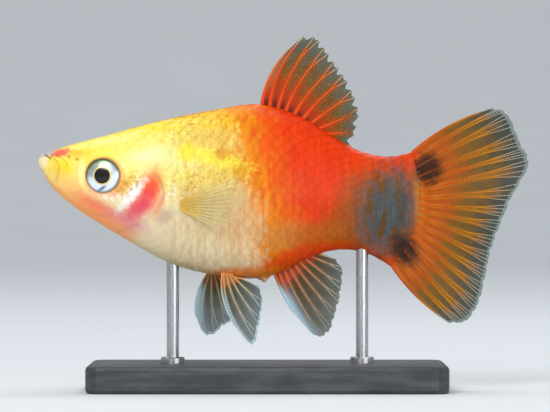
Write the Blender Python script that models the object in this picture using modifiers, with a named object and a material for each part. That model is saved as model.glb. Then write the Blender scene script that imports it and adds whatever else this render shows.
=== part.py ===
"""A life-size adult female platy on a plain stand of a flat base and two rods.

Sizes are in millimetres and are turned into metres where a mesh is made. The fish is laid out in its own
side view: x runs back from the tip of the lower jaw, z is the height above a datum through the middle of
the flank, and y is the side, with the fish's left at -Y. It faces -X, and the floor is at z = 0.
"""

import math
from dataclasses import dataclass

import bmesh
import bpy
import numpy as np
from mathutils import Matrix, Vector

MM = 0.001


@dataclass(frozen=True)
class KeyRay:
    """One ray that shapes a fin. The rays between two of these are blended from them.

    along is its share of the root line, length and angle are those of the straight line from root to tip, in
    millimetres and in degrees above the horizontal, and bend is how far it turns downwards on the way.
    """

    along: float
    length: float
    angle: float
    bend: float


@dataclass(frozen=True)
class RayStyle:
    """How a fin carries its rays: how many, which of them fork and where, and how ragged its edge is.

    rows counts the steps from root to tip, root is the thickness there, fork_at is the share of a ray's length
    where it forks (1 for never), notch is how far the web stops short of the tips, and ragged how much the
    rays' lengths vary.
    """

    rays: int
    rows: int
    root: float
    fork_at: float
    first_fork: int
    last_fork: int
    notch: float
    ragged: float
    seed: int


# Overall layout
TOTAL_LENGTH = 55.0
DATUM_HEIGHT = 21.8
GAP = 0.3
SIDE_REACH = 30.0

# Body stations: distance behind the jaw tip, height of the back, height of the belly, half width, height of
# the widest point, and how full the section is above and below it (2 is an ellipse, more is boxier)
STATIONS = np.array([
    (0.00, 4.12, 3.30, 0.55, 3.80, 2.2, 2.0),
    (0.30, 4.46, 2.85, 0.98, 3.85, 2.3, 2.0),
    (1.10, 4.78, 1.42, 1.55, 3.70, 2.5, 1.9),
    (2.60, 5.34, -0.18, 2.14, 3.30, 2.6, 1.8),
    (4.80, 5.97, -1.90, 2.72, 2.80, 2.6, 1.8),
    (7.50, 6.68, -3.56, 3.20, 2.20, 2.6, 1.8),
    (11.0, 7.65, -5.70, 3.85, 1.30, 2.4, 1.9),
    (15.0, 8.63, -7.72, 4.38, 0.30, 2.2, 2.1),
    (19.5, 9.50, -8.88, 4.60, -0.60, 2.0, 2.2),
    (24.6, 10.16, -9.24, 4.25, -0.70, 1.9, 2.1),
    (27.0, 9.70, -8.66, 3.80, -0.30, 1.9, 2.0),
    (30.0, 8.44, -7.12, 3.10, 0.20, 1.9, 2.0),
    (33.0, 6.46, -6.16, 2.45, 0.00, 2.0, 2.0),
    (36.5, 4.74, -6.42, 1.85, -0.80, 2.1, 2.1),
    (39.5, 4.34, -8.00, 1.38, -1.50, 2.2, 2.2),
    (42.0, 4.90, -9.80, 1.02, -1.60, 2.2, 2.2),
    (44.0, 5.90, -11.2, 0.80, -1.60, 2.2, 2.2),
])
BODY_SECTIONS = 50
BODY_SIDES = 32
SECTION_CROWDING = 1.35

# Tail swing: the body curves gently away from the fish's left, more and more towards the tail
SWING_START = 20.0
SWING_AT_TIP = 2.4

# Seams between the parts of the body, as lines in the side view
GILL_SEAM = [(12.6, 13.0), (12.4, 6.0), (12.8, 2.8), (14.05, 0.3), (13.6, -1.9), (12.4, -3.3), (11.0, -4.5),
             (10.3, -6.4), (10.0, -9.0)]
JAW_SEAM = [(0.30, 6.5), (0.72, 4.45), (1.02, 4.22), (1.47, 3.98), (1.97, 3.36), (2.20, 2.24), (2.03, 1.10),
            (1.70, -1.5)]
STALK_SEAM = [(34.3, 13.0), (31.2, -13.0)]
TAIL_BASE = [(42.1, 5.3), (42.8, 2.5), (43.0, -0.5), (42.5, -3.8), (41.0, -6.8), (39.6, -8.4)]

# Head
EYE_X = 7.29
EYE_Z = 2.18
EYE_Y = 2.22
EYE_RADIUS = 2.0
EYE_DEPTH = 1.20
EYE_TURN = math.radians(9.0)
NOSTRILS = [(3.43, 4.30), (4.38, 4.02)]
NOSTRIL_RADIUS = 0.20
NOSTRIL_DEPTH = 0.40
LIP_RADIUS = 0.24
LIP_SETBACK = 0.40
GILL_COVER_RISE = 0.28
GILL_COVER_SPAN = (8.8, 13.0)

# Fin membranes and the ridges of their rays
MEMBRANE = 0.5
MEMBRANE_TIP = 0.3
RIDGE = 0.14
COLUMN_STEP = 0.2
RIPPLE = 0.35
RIPPLE_LENGTH = 11.0

# Fins: their root lines, their key rays from front to back, and how each carries its rays
DORSAL_ROOT = (25.0, 32.9)
DORSAL_RAYS = [
    KeyRay(0.00, 6.5, 64, 34),
    KeyRay(0.13, 8.4, 65, 40),
    KeyRay(0.24, 8.7, 61, 27),
    KeyRay(0.48, 7.0, 48, 16),
    KeyRay(0.70, 5.6, 31, 2),
    KeyRay(0.85, 4.4, 12, -8),
    KeyRay(1.00, 2.4, -19, -20),
]
ANAL_ROOT = (26.5, 30.8)
ANAL_RAYS = [
    KeyRay(0.00, 5.0, -66, -14),
    KeyRay(0.08, 8.0, -58, -18),
    KeyRay(0.18, 8.5, -54, -14),
    KeyRay(0.40, 7.0, -44, -6),
    KeyRay(0.70, 5.1, -29, 0),
    KeyRay(1.00, 2.6, -15, 4),
]
TAIL_RAYS = [
    KeyRay(0.00, 9.6, 28, 24),
    KeyRay(0.10, 11.0, 28.8, 8),
    KeyRay(0.22, 11.6, 19, 6),
    KeyRay(0.31, 12.0, 13.5, 4),
    KeyRay(0.41, 9.6, 0, 0),
    KeyRay(0.49, 8.6, -11, -2),
    KeyRay(0.58, 8.4, -23, -4),
    KeyRay(0.67, 9.0, -33, -4),
    KeyRay(0.76, 9.8, -42, -4),
    KeyRay(0.88, 9.8, -46, -8),
    KeyRay(1.00, 8.5, -44, -22),
]
PECTORAL_RAYS = [
    KeyRay(0.00, 6.6, 20, 6),
    KeyRay(0.25, 7.3, 11, 4),
    KeyRay(0.50, 6.9, -2, 0),
    KeyRay(0.75, 6.0, -18, -4),
    KeyRay(1.00, 4.2, -36, -8),
]
PECTORAL_ROOT = [(16.1, -0.4), (16.3, -2.1)]
PECTORAL_OUT = math.radians(24)
PELVIC_LEFT_RAYS = [
    KeyRay(0.00, 6.6, -71, -50),
    KeyRay(0.15, 8.1, -67, -42),
    KeyRay(0.40, 6.6, -60, -20),
    KeyRay(0.65, 4.9, -48, -6),
    KeyRay(1.00, 2.3, -22, 10),
]
PELVIC_RIGHT_RAYS = [
    KeyRay(0.00, 4.9, -107, -44),
    KeyRay(0.15, 6.9, -93, -30),
    KeyRay(0.40, 6.0, -81, -12),
    KeyRay(0.65, 5.2, -68, 0),
    KeyRay(1.00, 2.6, -52, 10),
]
PELVIC_LEFT_ROOT = (20.5, 22.5)
PELVIC_RIGHT_ROOT = (18.9, 20.5)
PELVIC_SIDE = 1.5
PELVIC_OUT = math.radians(14)

# How each fin carries its rays
DORSAL_STYLE = RayStyle(rays=10, rows=6, root=0.9, fork_at=0.5, first_fork=2, last_fork=8, notch=0.5,
                        ragged=0.02, seed=3)
ANAL_STYLE = RayStyle(rays=9, rows=5, root=0.9, fork_at=0.5, first_fork=2, last_fork=7, notch=0.3,
                      ragged=0.02, seed=5)
TAIL_STYLE = RayStyle(rays=16, rows=7, root=1.3, fork_at=0.4, first_fork=1, last_fork=14, notch=0.25,
                      ragged=0.015, seed=7)
PECTORAL_STYLE = RayStyle(rays=10, rows=5, root=0.8, fork_at=1.0, first_fork=0, last_fork=0, notch=0.15,
                          ragged=0.015, seed=11)
PELVIC_STYLE = RayStyle(rays=6, rows=5, root=0.8, fork_at=0.45, first_fork=1, last_fork=4, notch=0.3,
                        ragged=0.02, seed=13)

# Vent papilla
PAPILLA_X = 25.2
PAPILLA_Z = -9.05
PAPILLA_RADIUS = 0.55

# Stand
BASE_LENGTH = 40.0
BASE_WIDTH = 24.0
BASE_HEIGHT = 3.0
BASE_CORNER = 2.0
BASE_EDGE = 0.4
ROD_RADIUS = 0.7
ROD_STATIONS = {"stand_rod_front": 15.0, "stand_rod_rear": 36.2}
BASE_X = sum(ROD_STATIONS.values()) / len(ROD_STATIONS)


def blend(keys, values, at):
    """Smooth curve through values at keys, with a slope at each key taken from its neighbours."""
    keys = np.asarray(keys, float)
    values = np.asarray(values, float)
    at = np.clip(np.asarray(at, float), keys[0], keys[-1])
    slopes = np.gradient(values, keys, axis=0)
    index = np.clip(np.searchsorted(keys, at, side="right") - 1, 0, len(keys) - 2)
    width = keys[index + 1] - keys[index]
    t = (at - keys[index]) / width
    return (
        (2 * t**3 - 3 * t**2 + 1) * values[index]
        + (t**3 - 2 * t**2 + t) * width * slopes[index]
        + (3 * t**2 - 2 * t**3) * values[index + 1]
        + (t**3 - t**2) * width * slopes[index + 1]
    )


def smooth_line(points, count):
    """The curve through the points, as count points evenly spaced in the points' own order."""
    points = np.asarray(points, float)
    steps = np.linalg.norm(np.diff(points, axis=0), axis=1)
    keys = np.concatenate([[0], np.cumsum(steps)])
    at = np.linspace(0, keys[-1], count)
    return np.stack([blend(keys, points[:, k], at) for k in range(points.shape[1])], axis=1)


def swing(x):
    """How far the body's middle plane lies to the side at x."""
    share = np.clip((np.asarray(x, float) - SWING_START) / (TOTAL_LENGTH - SWING_START), 0, 1)
    return SWING_AT_TIP * share**2


def station(x):
    """Back, belly, half width, widest height, upper and lower fullness of the body at x."""
    return [blend(STATIONS[:, 0], STATIONS[:, k], x) for k in range(1, STATIONS.shape[1])]


def section(x, angles, grow=0.0, flare=0.0):
    """Points round the body at x, grown outwards by grow. Angle 0 is the back, and flare lifts the flanks."""
    back, belly, half_width, widest, upper, lower = station(x)
    rise = np.clip((x - GILL_COVER_SPAN[0]) / (GILL_COVER_SPAN[1] - GILL_COVER_SPAN[0]), 0, 1)
    half_width = half_width + flare * rise**2 * (3 - 2 * rise)
    above = np.cos(angles) >= 0
    fullness = np.where(above, upper, lower)
    reach = np.where(above, back + grow - widest, widest - belly + grow)
    z = widest + np.sign(np.cos(angles)) * reach * np.abs(np.cos(angles)) ** (2 / fullness)
    y = (half_width + grow) * np.sign(np.sin(angles)) * np.abs(np.sin(angles)) ** (2 / fullness)
    return np.stack([np.full_like(z, x), y + swing(x), z], axis=1)


def flank(x, z):
    """Half width of the body at x and height z."""
    back, belly, half_width, widest, upper, lower = station(x)
    above = z >= widest
    share = (z - widest) / (back - widest) if above else (widest - z) / (widest - belly)
    fullness = upper if above else lower
    return float(half_width * max(0.0, 1 - min(1.0, share) ** fullness) ** (1 / fullness))


def underside(x, y):
    """Height of the belly's skin at x and y."""
    _, belly, half_width, widest, _, lower = station(x)
    share = min(1.0, abs(y) / half_width)
    return float(widest - (widest - belly) * (1 - share**lower) ** (1 / lower))


def to_world(points):
    """Points in the fish's own millimetres, as metres in the part's frame."""
    shift = np.array([-TOTAL_LENGTH / 2, 0.0, DATUM_HEIGHT])
    return (np.asarray(points, float) + shift) * MM


def mesh_object(name, points, faces):
    """A mesh object made from points in the fish's millimetres, with its faces turned outwards."""
    mesh = bpy.data.meshes.new(name)
    mesh.from_pydata([tuple(p) for p in to_world(points)], [], faces)
    shape = bmesh.new()
    shape.from_mesh(mesh)
    bmesh.ops.recalc_face_normals(shape, faces=shape.faces[:])
    shape.to_mesh(mesh)
    shape.free()
    obj = bpy.data.objects.new(name, mesh)
    bpy.context.scene.collection.objects.link(obj)
    return obj


def loft(name, grow=0.0, flare=0.0):
    """The whole body as one closed skin through its sections, from the jaw tip to past the tail base."""
    last = STATIONS[-1, 0]
    stations = last * np.linspace(0, 1, BODY_SECTIONS) ** SECTION_CROWDING
    angles = np.linspace(0, 2 * math.pi, BODY_SIDES, endpoint=False)
    rings = [section(x, angles, grow, flare) for x in stations]
    points = np.concatenate(rings)
    points[:BODY_SIDES, 0] -= grow
    faces = []
    for ring in range(BODY_SECTIONS - 1):
        for side in range(BODY_SIDES):
            after = (side + 1) % BODY_SIDES
            here, there = ring * BODY_SIDES, (ring + 1) * BODY_SIDES
            faces.append((here + side, here + after, there + after, there + side))
    for ring in (0, BODY_SECTIONS - 1):
        centre = len(points)
        points = np.vstack([points, rings[ring].mean(axis=0) - (grow if ring == 0 else 0, 0, 0)])
        start = ring * BODY_SIDES
        for side in range(BODY_SIDES):
            faces.append((start + side, start + (side + 1) % BODY_SIDES, centre))
    return mesh_object(name, points, faces)


def slab(name, outline):
    """A flat outline in the side view, made thick enough to reach past both flanks."""
    curve = bpy.data.curves.new(name, "CURVE")
    curve.dimensions = "2D"
    curve.fill_mode = "BOTH"
    curve.extrude = SIDE_REACH * MM
    spline = curve.splines.new("POLY")
    spline.points.add(len(outline) - 1)
    for point, (x, z) in zip(spline.points, outline):
        point.co = ((x - TOTAL_LENGTH / 2) * MM, (z + DATUM_HEIGHT) * MM, 0, 1)
    spline.use_cyclic_u = True
    guide = bpy.data.objects.new(name, curve)
    guide.matrix_world = Matrix.Rotation(math.radians(90), 4, "X")
    return as_mesh(guide)


def as_mesh(guide):
    """The mesh of a curve object, with its caps welded on. The curve is removed."""
    bpy.context.scene.collection.objects.link(guide)
    bpy.context.view_layer.update()
    graph = bpy.context.evaluated_depsgraph_get()
    mesh = bpy.data.meshes.new_from_object(guide.evaluated_get(graph))
    name, place = guide.name, guide.matrix_world.copy()
    bpy.data.objects.remove(guide)
    mesh.transform(place)
    shape = bmesh.new()
    shape.from_mesh(mesh)
    bmesh.ops.remove_doubles(shape, verts=shape.verts[:], dist=1e-7)
    bmesh.ops.recalc_face_normals(shape, faces=shape.faces[:])
    shape.to_mesh(mesh)
    shape.free()
    obj = bpy.data.objects.new(name, mesh)
    bpy.context.scene.collection.objects.link(obj)
    return obj


def combine(obj, others, operation):
    """Joins or cuts obj with the others, and removes them."""
    group = bpy.data.collections.new("operands")
    for other in others:
        for holder in list(other.users_collection):
            holder.objects.unlink(other)
        group.objects.link(other)
    bpy.context.scene.collection.children.link(group)
    modifier = obj.modifiers.new("combine", "BOOLEAN")
    modifier.operation = operation
    modifier.operand_type = "COLLECTION"
    modifier.collection = group
    modifier.solver = "EXACT"
    bpy.context.view_layer.update()
    graph = bpy.context.evaluated_depsgraph_get()
    mesh = bpy.data.meshes.new_from_object(obj.evaluated_get(graph))
    obj.modifiers.clear()
    obj.data = mesh
    for other in others:
        bpy.data.objects.remove(other)
    bpy.data.collections.remove(group)
    keep_largest(obj)
    return obj


def keep_largest(obj):
    """Drops every closed surface of the object but the one with the most faces."""
    shape = bmesh.new()
    shape.from_mesh(obj.data)
    bmesh.ops.remove_doubles(shape, verts=shape.verts[:], dist=1e-7)
    left = set(shape.faces)
    pieces = []
    while left:
        found = {left.pop()}
        edge = list(found)
        while edge:
            for side in edge.pop().edges:
                for face in side.link_faces:
                    if face in left:
                        left.discard(face)
                        found.add(face)
                        edge.append(face)
        pieces.append(found)
    pieces.sort(key=len)
    loose = [face for piece in pieces[:-1] for face in piece]
    bmesh.ops.delete(shape, geom=loose, context="FACES")
    shape.to_mesh(obj.data)
    shape.free()


def beside(seam, name, far, offset=0.0):
    """A thick block that fills all the space between a seam in the side view and x = far."""
    line = smooth_line(seam, 6 * len(seam)) + (offset, 0)
    high, low = (line[0, 0], SIDE_REACH), (line[-1, 0], -SIDE_REACH)
    return slab(name, [high, *(tuple(p) for p in line), low, (far, -SIDE_REACH), (far, SIDE_REACH)])


def behind(seam, name, offset=0.0):
    """A thick block behind a seam."""
    return beside(seam, name, 2 * TOTAL_LENGTH, offset)


def in_front(seam, name, offset=0.0):
    """A thick block in front of a seam."""
    return beside(seam, name, -TOTAL_LENGTH, offset)


def ball(name, centre, radii, turn=0.0, segments=20, rings=10):
    """A ball stretched to the radii and turned about the vertical, at a centre in the fish's millimetres."""
    bpy.ops.mesh.primitive_uv_sphere_add(segments=segments, ring_count=rings, radius=1.0)
    obj = bpy.context.object
    obj.name = name
    size = Matrix.Diagonal((*[r * MM for r in radii], 1.0))
    pole = Matrix.Rotation(math.radians(90), 4, "X")
    place = Matrix.Translation(Vector(to_world(centre)))
    obj.data.transform(place @ Matrix.Rotation(turn, 4, "Z") @ size @ pole)
    return obj


def eye_ball(name, side, gap=0.0):
    """An eyeball, flatter across than it is high, facing out and a little forwards."""
    radii = (EYE_RADIUS + gap, EYE_DEPTH + gap, EYE_RADIUS + gap)
    return ball(name, (EYE_X, side * EYE_Y, EYE_Z), radii, turn=side * EYE_TURN, segments=24, rings=12)


def nostril(side, x, z):
    """A short round cutter across the snout's skin."""
    y = flank(x, z)
    bpy.ops.mesh.primitive_cylinder_add(vertices=10, radius=NOSTRIL_RADIUS * MM, depth=2 * NOSTRIL_DEPTH * MM)
    obj = bpy.context.object
    turn = Matrix.Rotation(math.radians(90 + side * 35), 4, "X")
    obj.data.transform(Matrix.Translation(Vector(to_world((x, side * y, z)))) @ turn)
    return obj


def lip(name, shift):
    """A roll of flesh along the mouth, from one corner over the tip to the other."""
    line = smooth_line(JAW_SEAM[1:4], 7)
    half = [(x + shift, flank(x + shift, z), z) for x, z in line]
    path = [(x, -y, z) for x, y, z in reversed(half)] + half[1:]
    curve = bpy.data.curves.new(name, "CURVE")
    curve.dimensions = "3D"
    curve.bevel_depth = LIP_RADIUS * MM
    curve.bevel_resolution = 1
    curve.use_fill_caps = True
    spline = curve.splines.new("POLY")
    spline.points.add(len(path) - 1)
    for point, place in zip(spline.points, to_world(path)):
        point.co = (*place, 1)
    return as_mesh(bpy.data.objects.new(name, curve))


def build_head():
    """Head with its gill covers, and the lower jaw, parted from the whole body by thin cuts."""
    head = combine(loft("head", flare=GILL_COVER_RISE), [behind(GILL_SEAM, "rear")], "DIFFERENCE")
    combine(head, [in_front(JAW_SEAM, "front", GAP / 2)], "DIFFERENCE")
    combine(head, [lip("upper_lip", LIP_SETBACK)], "UNION")
    for side in (-1, 1):
        openings = [nostril(side, x, z) for x, z in NOSTRILS]
        combine(head, [eye_ball("socket", side, GAP), *openings], "DIFFERENCE")
    jaw = combine(loft("lower_jaw"), [behind(JAW_SEAM, "rear", -GAP / 2)], "DIFFERENCE")
    combine(jaw, [lip("lower_lip", -LIP_SETBACK)], "UNION")
    return [head, jaw]


def build_trunk():
    """Trunk and tail stalk, parted from the whole body, with the vent papilla on the belly."""
    trunk = combine(loft("trunk"), [in_front(GILL_SEAM, "front", GAP), behind(STALK_SEAM, "rear")], "DIFFERENCE")
    radii = (PAPILLA_RADIUS * 1.3, PAPILLA_RADIUS, PAPILLA_RADIUS * 1.1)
    papilla = ball("papilla", (PAPILLA_X, float(swing(PAPILLA_X)), PAPILLA_Z), radii, segments=12, rings=8)
    combine(trunk, [papilla], "UNION")
    stalk = loft("tail_stalk")
    combine(stalk, [in_front(STALK_SEAM, "front", GAP), behind(TAIL_BASE, "rear")], "DIFFERENCE")
    return [trunk, stalk]


def ray_point(root, length, angle, bend, share):
    """The point a share of the way along a ray that bends as a circular arc."""
    turn = np.radians(np.where(np.abs(bend) < 0.5, 0.5, bend))
    heading = np.radians(angle) + turn / 2 - turn * share / 2
    reach = length * np.sin(turn * share / 2) / np.sin(turn / 2)
    return root + np.stack([reach * np.cos(heading), reach * np.sin(heading)], axis=-1)


def ray_columns(style):
    """The columns of a fin's grid: share across the fin, ray number, and place within the ray."""
    spacing = 1 / (style.rays - 1)
    columns = []
    for ray in range(style.rays):
        for place in (-2, -1, 0, 1, 2) if style.fork_at < 1 else (-2, 0, 2):
            across = (ray + place * COLUMN_STEP) * spacing
            if 0 <= across <= 1:
                columns.append((across, ray, place))
    return [np.array(part) for part in zip(*columns)]


def fin_plate(name, keys, style, root_line, place, seat=None):
    """A fin as one thin closed plate that fans out from its root line, with a raised ridge along each ray.

    keys are the KeyRays, root_line gives the flat point of a share along the root, and place turns flat
    points into points in space and the direction of the fin's thickness. seat moves the root's points onto
    the body's grown surface.
    """
    at = np.linspace(0, 1, len(keys))
    table = np.array([(k.along, k.length, k.angle, k.bend) for k in keys])
    across, ray, spot = ray_columns(style)
    along, length, angle, bend = (blend(at, table[:, k], across) for k in range(4))
    draw = np.random.default_rng(style.seed)
    length = length * (1 + style.ragged * draw.uniform(-1, 1, style.rays))[ray]
    outer = 1 if style.fork_at < 1 else 0
    forks = (ray >= style.first_fork) & (ray <= style.last_fork) & (style.fork_at < 1)
    notch = np.where(forks, np.choose(abs(spot), [0.5, 0.0, 1.0]), np.choose(abs(spot), [0.0, 0.4 * outer, 1.0]))
    length = length - style.notch * notch
    roots = root_line(along)
    points = []
    for share in np.linspace(0, 1, style.rows + 1):
        flat = ray_point(roots, length, angle, bend, share)
        spots, direction = place(flat, share)
        thick = np.interp(share, [0, 0.3, 0.85, 1], [style.root, MEMBRANE, MEMBRANE, MEMBRANE_TIP])
        parted = np.clip((share - style.fork_at) / 0.2, 0, 1) * forks
        single = np.choose(abs(spot), [1.0, 0.35, 0.0])
        double = np.choose(abs(spot), [0.25, 1.0, 0.0])
        crest = RIDGE * (single * (1 - parted) + double * parted) * (1 - 0.5 * share)
        rise = (thick / 2 + crest)[:, None] * direction
        points.append(np.stack([spots + rise, spots - rise]))
    grid = np.array(points)
    if seat:
        grid[0] = seat(grid[0])
    count = len(across)

    def index(row, face, column):
        return (row * 2 + face) * count + column

    faces = []
    for row in range(style.rows):
        for column in range(count - 1):
            corners = [(row, column), (row, column + 1), (row + 1, column + 1), (row + 1, column)]
            front = [index(r, 0, c) for r, c in corners]
            rear = [index(r, 1, c) for r, c in corners]
            faces += [(front[0], front[1], front[2]), (front[0], front[2], front[3])]
            faces += [(rear[2], rear[1], rear[0]), (rear[3], rear[2], rear[0])]
        for column in (0, count - 1):
            faces.append((index(row, 0, column), index(row + 1, 0, column), index(row + 1, 1, column),
                          index(row, 1, column)))
    for row in (0, style.rows):
        for column in range(count - 1):
            faces.append((index(row, 0, column), index(row, 0, column + 1), index(row, 1, column + 1),
                          index(row, 1, column)))
    return mesh_object(name, grid.reshape(-1, 3), faces)


def in_middle_plane(flat, share):
    """Places a fin's flat points in the fish's swung middle plane, with a slight ripple towards the edge."""
    ripple = RIPPLE * share**2 * np.sin(2 * math.pi * flat[:, 1] / RIPPLE_LENGTH)
    spots = np.stack([flat[:, 0], swing(flat[:, 0]) + ripple, flat[:, 1]], axis=1)
    return spots, np.array([0.0, 1.0, 0.0])


def build_middle_fins():
    """Dorsal, anal and tail fins, each standing a gap off the body in its middle plane."""
    def on_back(share):
        x = DORSAL_ROOT[0] + (DORSAL_ROOT[1] - DORSAL_ROOT[0]) * share
        return np.stack([x, station(x)[0] + GAP], axis=1)

    def on_belly(share):
        x = ANAL_ROOT[0] + (ANAL_ROOT[1] - ANAL_ROOT[0]) * share
        return np.stack([x, station(x)[1] - GAP], axis=1)

    def on_tail(share):
        line = smooth_line(TAIL_BASE, 60) + (GAP, 0)
        spots = np.linspace(0, 1, len(line))
        return np.stack([np.interp(share, spots, line[:, k]) for k in range(2)], axis=1)

    return [
        fin_plate("dorsal_fin", DORSAL_RAYS, DORSAL_STYLE, on_back, in_middle_plane),
        fin_plate("anal_fin", ANAL_RAYS, ANAL_STYLE, on_belly, in_middle_plane),
        fin_plate("tail_fin", TAIL_RAYS, TAIL_STYLE, on_tail, in_middle_plane),
    ]


def build_pectoral(side, hand):
    """A pectoral fin, fanned back from the flank just behind the gill cover."""
    def spread_back(flat, share):
        reach = flat[:, 0] - PECTORAL_ROOT[0][0]
        y = flank(*PECTORAL_ROOT[0]) + GAP + reach * math.tan(PECTORAL_OUT)
        spots = np.stack([flat[:, 0], side * y, flat[:, 1]], axis=1)
        normal = np.array([-math.sin(PECTORAL_OUT), side * math.cos(PECTORAL_OUT), 0.0])
        return spots, normal

    def on_shoulder(share):
        line = np.array(PECTORAL_ROOT)
        return line[0] + (line[1] - line[0]) * share[:, None]

    def seat(row):
        for point in row.reshape(-1, 3):
            point[1] = side * (flank(point[0], point[2]) + GAP)
        return row

    return fin_plate(f"pectoral_fin_{hand}", PECTORAL_RAYS, PECTORAL_STYLE, on_shoulder, spread_back, seat)


def build_pelvic(side, hand, keys, root):
    """A pelvic fin, hanging from the belly to one side of the middle."""
    def hang_down(flat, share):
        y = PELVIC_SIDE + (station(root[0])[1] - flat[:, 1]) * math.tan(PELVIC_OUT)
        spots = np.stack([flat[:, 0], side * y, flat[:, 1]], axis=1)
        normal = np.array([0.0, side * math.cos(PELVIC_OUT), math.sin(PELVIC_OUT)])
        return spots, normal

    def on_belly(share):
        x = root[0] + (root[1] - root[0]) * share
        return np.stack([x, station(x)[1]], axis=1)

    def seat(row):
        for point in row.reshape(-1, 3):
            point[2] = underside(point[0], point[1]) - GAP
        return row

    return fin_plate(f"pelvic_fin_{hand}", keys, PELVIC_STYLE, on_belly, hang_down, seat)


def build_paired_fins():
    """Pectoral and pelvic fins, each standing a gap off the body's surface."""
    return [
        build_pectoral(-1, "left"),
        build_pectoral(1, "right"),
        build_pelvic(-1, "left", PELVIC_LEFT_RAYS, PELVIC_LEFT_ROOT),
        build_pelvic(1, "right", PELVIC_RIGHT_RAYS, PELVIC_RIGHT_ROOT),
    ]


def build_stand():
    """A flat base with softened edges, and two upright rods that end just under the belly."""
    bpy.ops.mesh.primitive_cube_add(size=1.0)
    base = bpy.context.object
    base.name = "stand_base"
    size = Matrix.Diagonal((BASE_LENGTH * MM, BASE_WIDTH * MM, BASE_HEIGHT * MM, 1.0))
    centre = Vector(((BASE_X - TOTAL_LENGTH / 2) * MM, 0, BASE_HEIGHT / 2 * MM))
    base.data.transform(Matrix.Translation(centre) @ size)
    corner = base.modifiers.new("corner", "BEVEL")
    corner.limit_method = "WEIGHT"
    corner.width = BASE_CORNER * MM
    corner.segments = 4
    weights = base.data.attributes.new("bevel_weight_edge", "FLOAT", "EDGE")
    for edge in base.data.edges:
        a, b = (base.data.vertices[v].co for v in edge.vertices)
        weights.data[edge.index].value = 1.0 if abs(a.z - b.z) > BASE_HEIGHT * MM / 2 else 0.0
    rim = base.modifiers.new("rim", "BEVEL")
    rim.limit_method = "ANGLE"
    rim.angle_limit = math.radians(60)
    rim.width = BASE_EDGE * MM
    rim.segments = 2
    rods = []
    for name, x in ROD_STATIONS.items():
        low = BASE_HEIGHT + GAP
        high = DATUM_HEIGHT + station(x)[1] + 2.0
        bpy.ops.mesh.primitive_cylinder_add(vertices=16, radius=ROD_RADIUS * MM, depth=(high - low) * MM)
        rod = bpy.context.object
        rod.name = name
        place = ((x - TOTAL_LENGTH / 2) * MM, float(swing(x)) * MM, (low + high) / 2 * MM)
        rod.data.transform(Matrix.Translation(place))
        rods.append(combine(rod, [loft("grown", GAP)], "DIFFERENCE"))
    return [base, *rods]


def finish(name, colour, roughness, metallic=0.0):
    """A plain finish of one colour."""
    material = bpy.data.materials.new(name)
    material.use_nodes = True
    shader = material.node_tree.nodes["Principled BSDF"]
    shader.inputs["Base Color"].default_value = (*colour, 1.0)
    shader.inputs["Roughness"].default_value = roughness
    shader.inputs["Metallic"].default_value = metallic
    return material


def main():
    for obj in list(bpy.data.objects):
        bpy.data.objects.remove(obj)
    parts = build_head() + build_trunk()
    for side, hand in ((-1, "left"), (1, "right")):
        parts.append(eye_ball(f"eye_{hand}", side))
    parts += build_middle_fins() + build_paired_fins() + build_stand()
    finishes = {
        "head": finish("yellow_skin", (0.90, 0.62, 0.12), 0.35),
        "trunk": finish("orange_skin", (0.90, 0.28, 0.04), 0.35),
        "fin": finish("fin", (0.85, 0.42, 0.14), 0.40),
        "eye": finish("eye", (0.55, 0.62, 0.62), 0.10),
        "stand_base": finish("base", (0.03, 0.03, 0.035), 0.30),
        "stand_rod": finish("rod", (0.60, 0.60, 0.62), 0.25, 1.0),
    }
    plain = {"lower_jaw": "head", "tail_stalk": "trunk"}
    fish = bpy.data.collections.new("platy")
    bpy.context.scene.collection.children.link(fish)
    for part in parts:
        key = plain.get(part.name) or next(k for k in finishes if k in part.name)
        part.data.materials.clear()
        part.data.materials.append(finishes[key])
        for holder in list(part.users_collection):
            holder.objects.unlink(part)
        fish.objects.link(part)


main()
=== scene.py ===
"""Looks of a life-size adult female platy, held over a slate base by two steel rods.

The fish is laid out in millimetres in its own side view: x runs back from the tip of the lower jaw, z is the
height above a datum through the middle of the flank, and y is the side, with the fish's left at -Y. The frame
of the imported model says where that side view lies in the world.
"""

import logging
import math
from dataclasses import dataclass
from enum import Enum
from typing import Callable, Optional, Sequence, Union

import bpy
import numpy as np
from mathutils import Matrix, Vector


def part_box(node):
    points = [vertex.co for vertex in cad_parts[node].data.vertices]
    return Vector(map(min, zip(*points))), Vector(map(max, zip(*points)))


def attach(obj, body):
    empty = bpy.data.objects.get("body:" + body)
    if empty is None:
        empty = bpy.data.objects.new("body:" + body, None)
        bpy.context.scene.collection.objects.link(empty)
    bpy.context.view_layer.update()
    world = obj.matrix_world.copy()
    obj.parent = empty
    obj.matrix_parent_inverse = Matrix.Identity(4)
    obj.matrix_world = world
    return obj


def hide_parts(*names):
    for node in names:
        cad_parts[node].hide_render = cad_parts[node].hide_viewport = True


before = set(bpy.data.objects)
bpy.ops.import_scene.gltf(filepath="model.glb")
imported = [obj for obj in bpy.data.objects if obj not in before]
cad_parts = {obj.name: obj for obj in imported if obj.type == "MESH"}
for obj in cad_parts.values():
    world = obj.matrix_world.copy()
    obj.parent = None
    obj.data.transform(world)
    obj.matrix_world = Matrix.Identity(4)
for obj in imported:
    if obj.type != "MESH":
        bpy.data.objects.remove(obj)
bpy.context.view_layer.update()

log = logging.getLogger("platy")

MM = 0.001
BODY = "root"
GAP = 0.3
DATUM_CLEARANCE = 18.8
RAY_JOINTS = 0.36

Triple = tuple[float, float, float]
Colour = Triple
Line = tuple[tuple[float, float], ...]
Faces = list[tuple[int, ...]]
Socket = bpy.types.NodeSocket
Value = Union[float, Socket]


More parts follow.
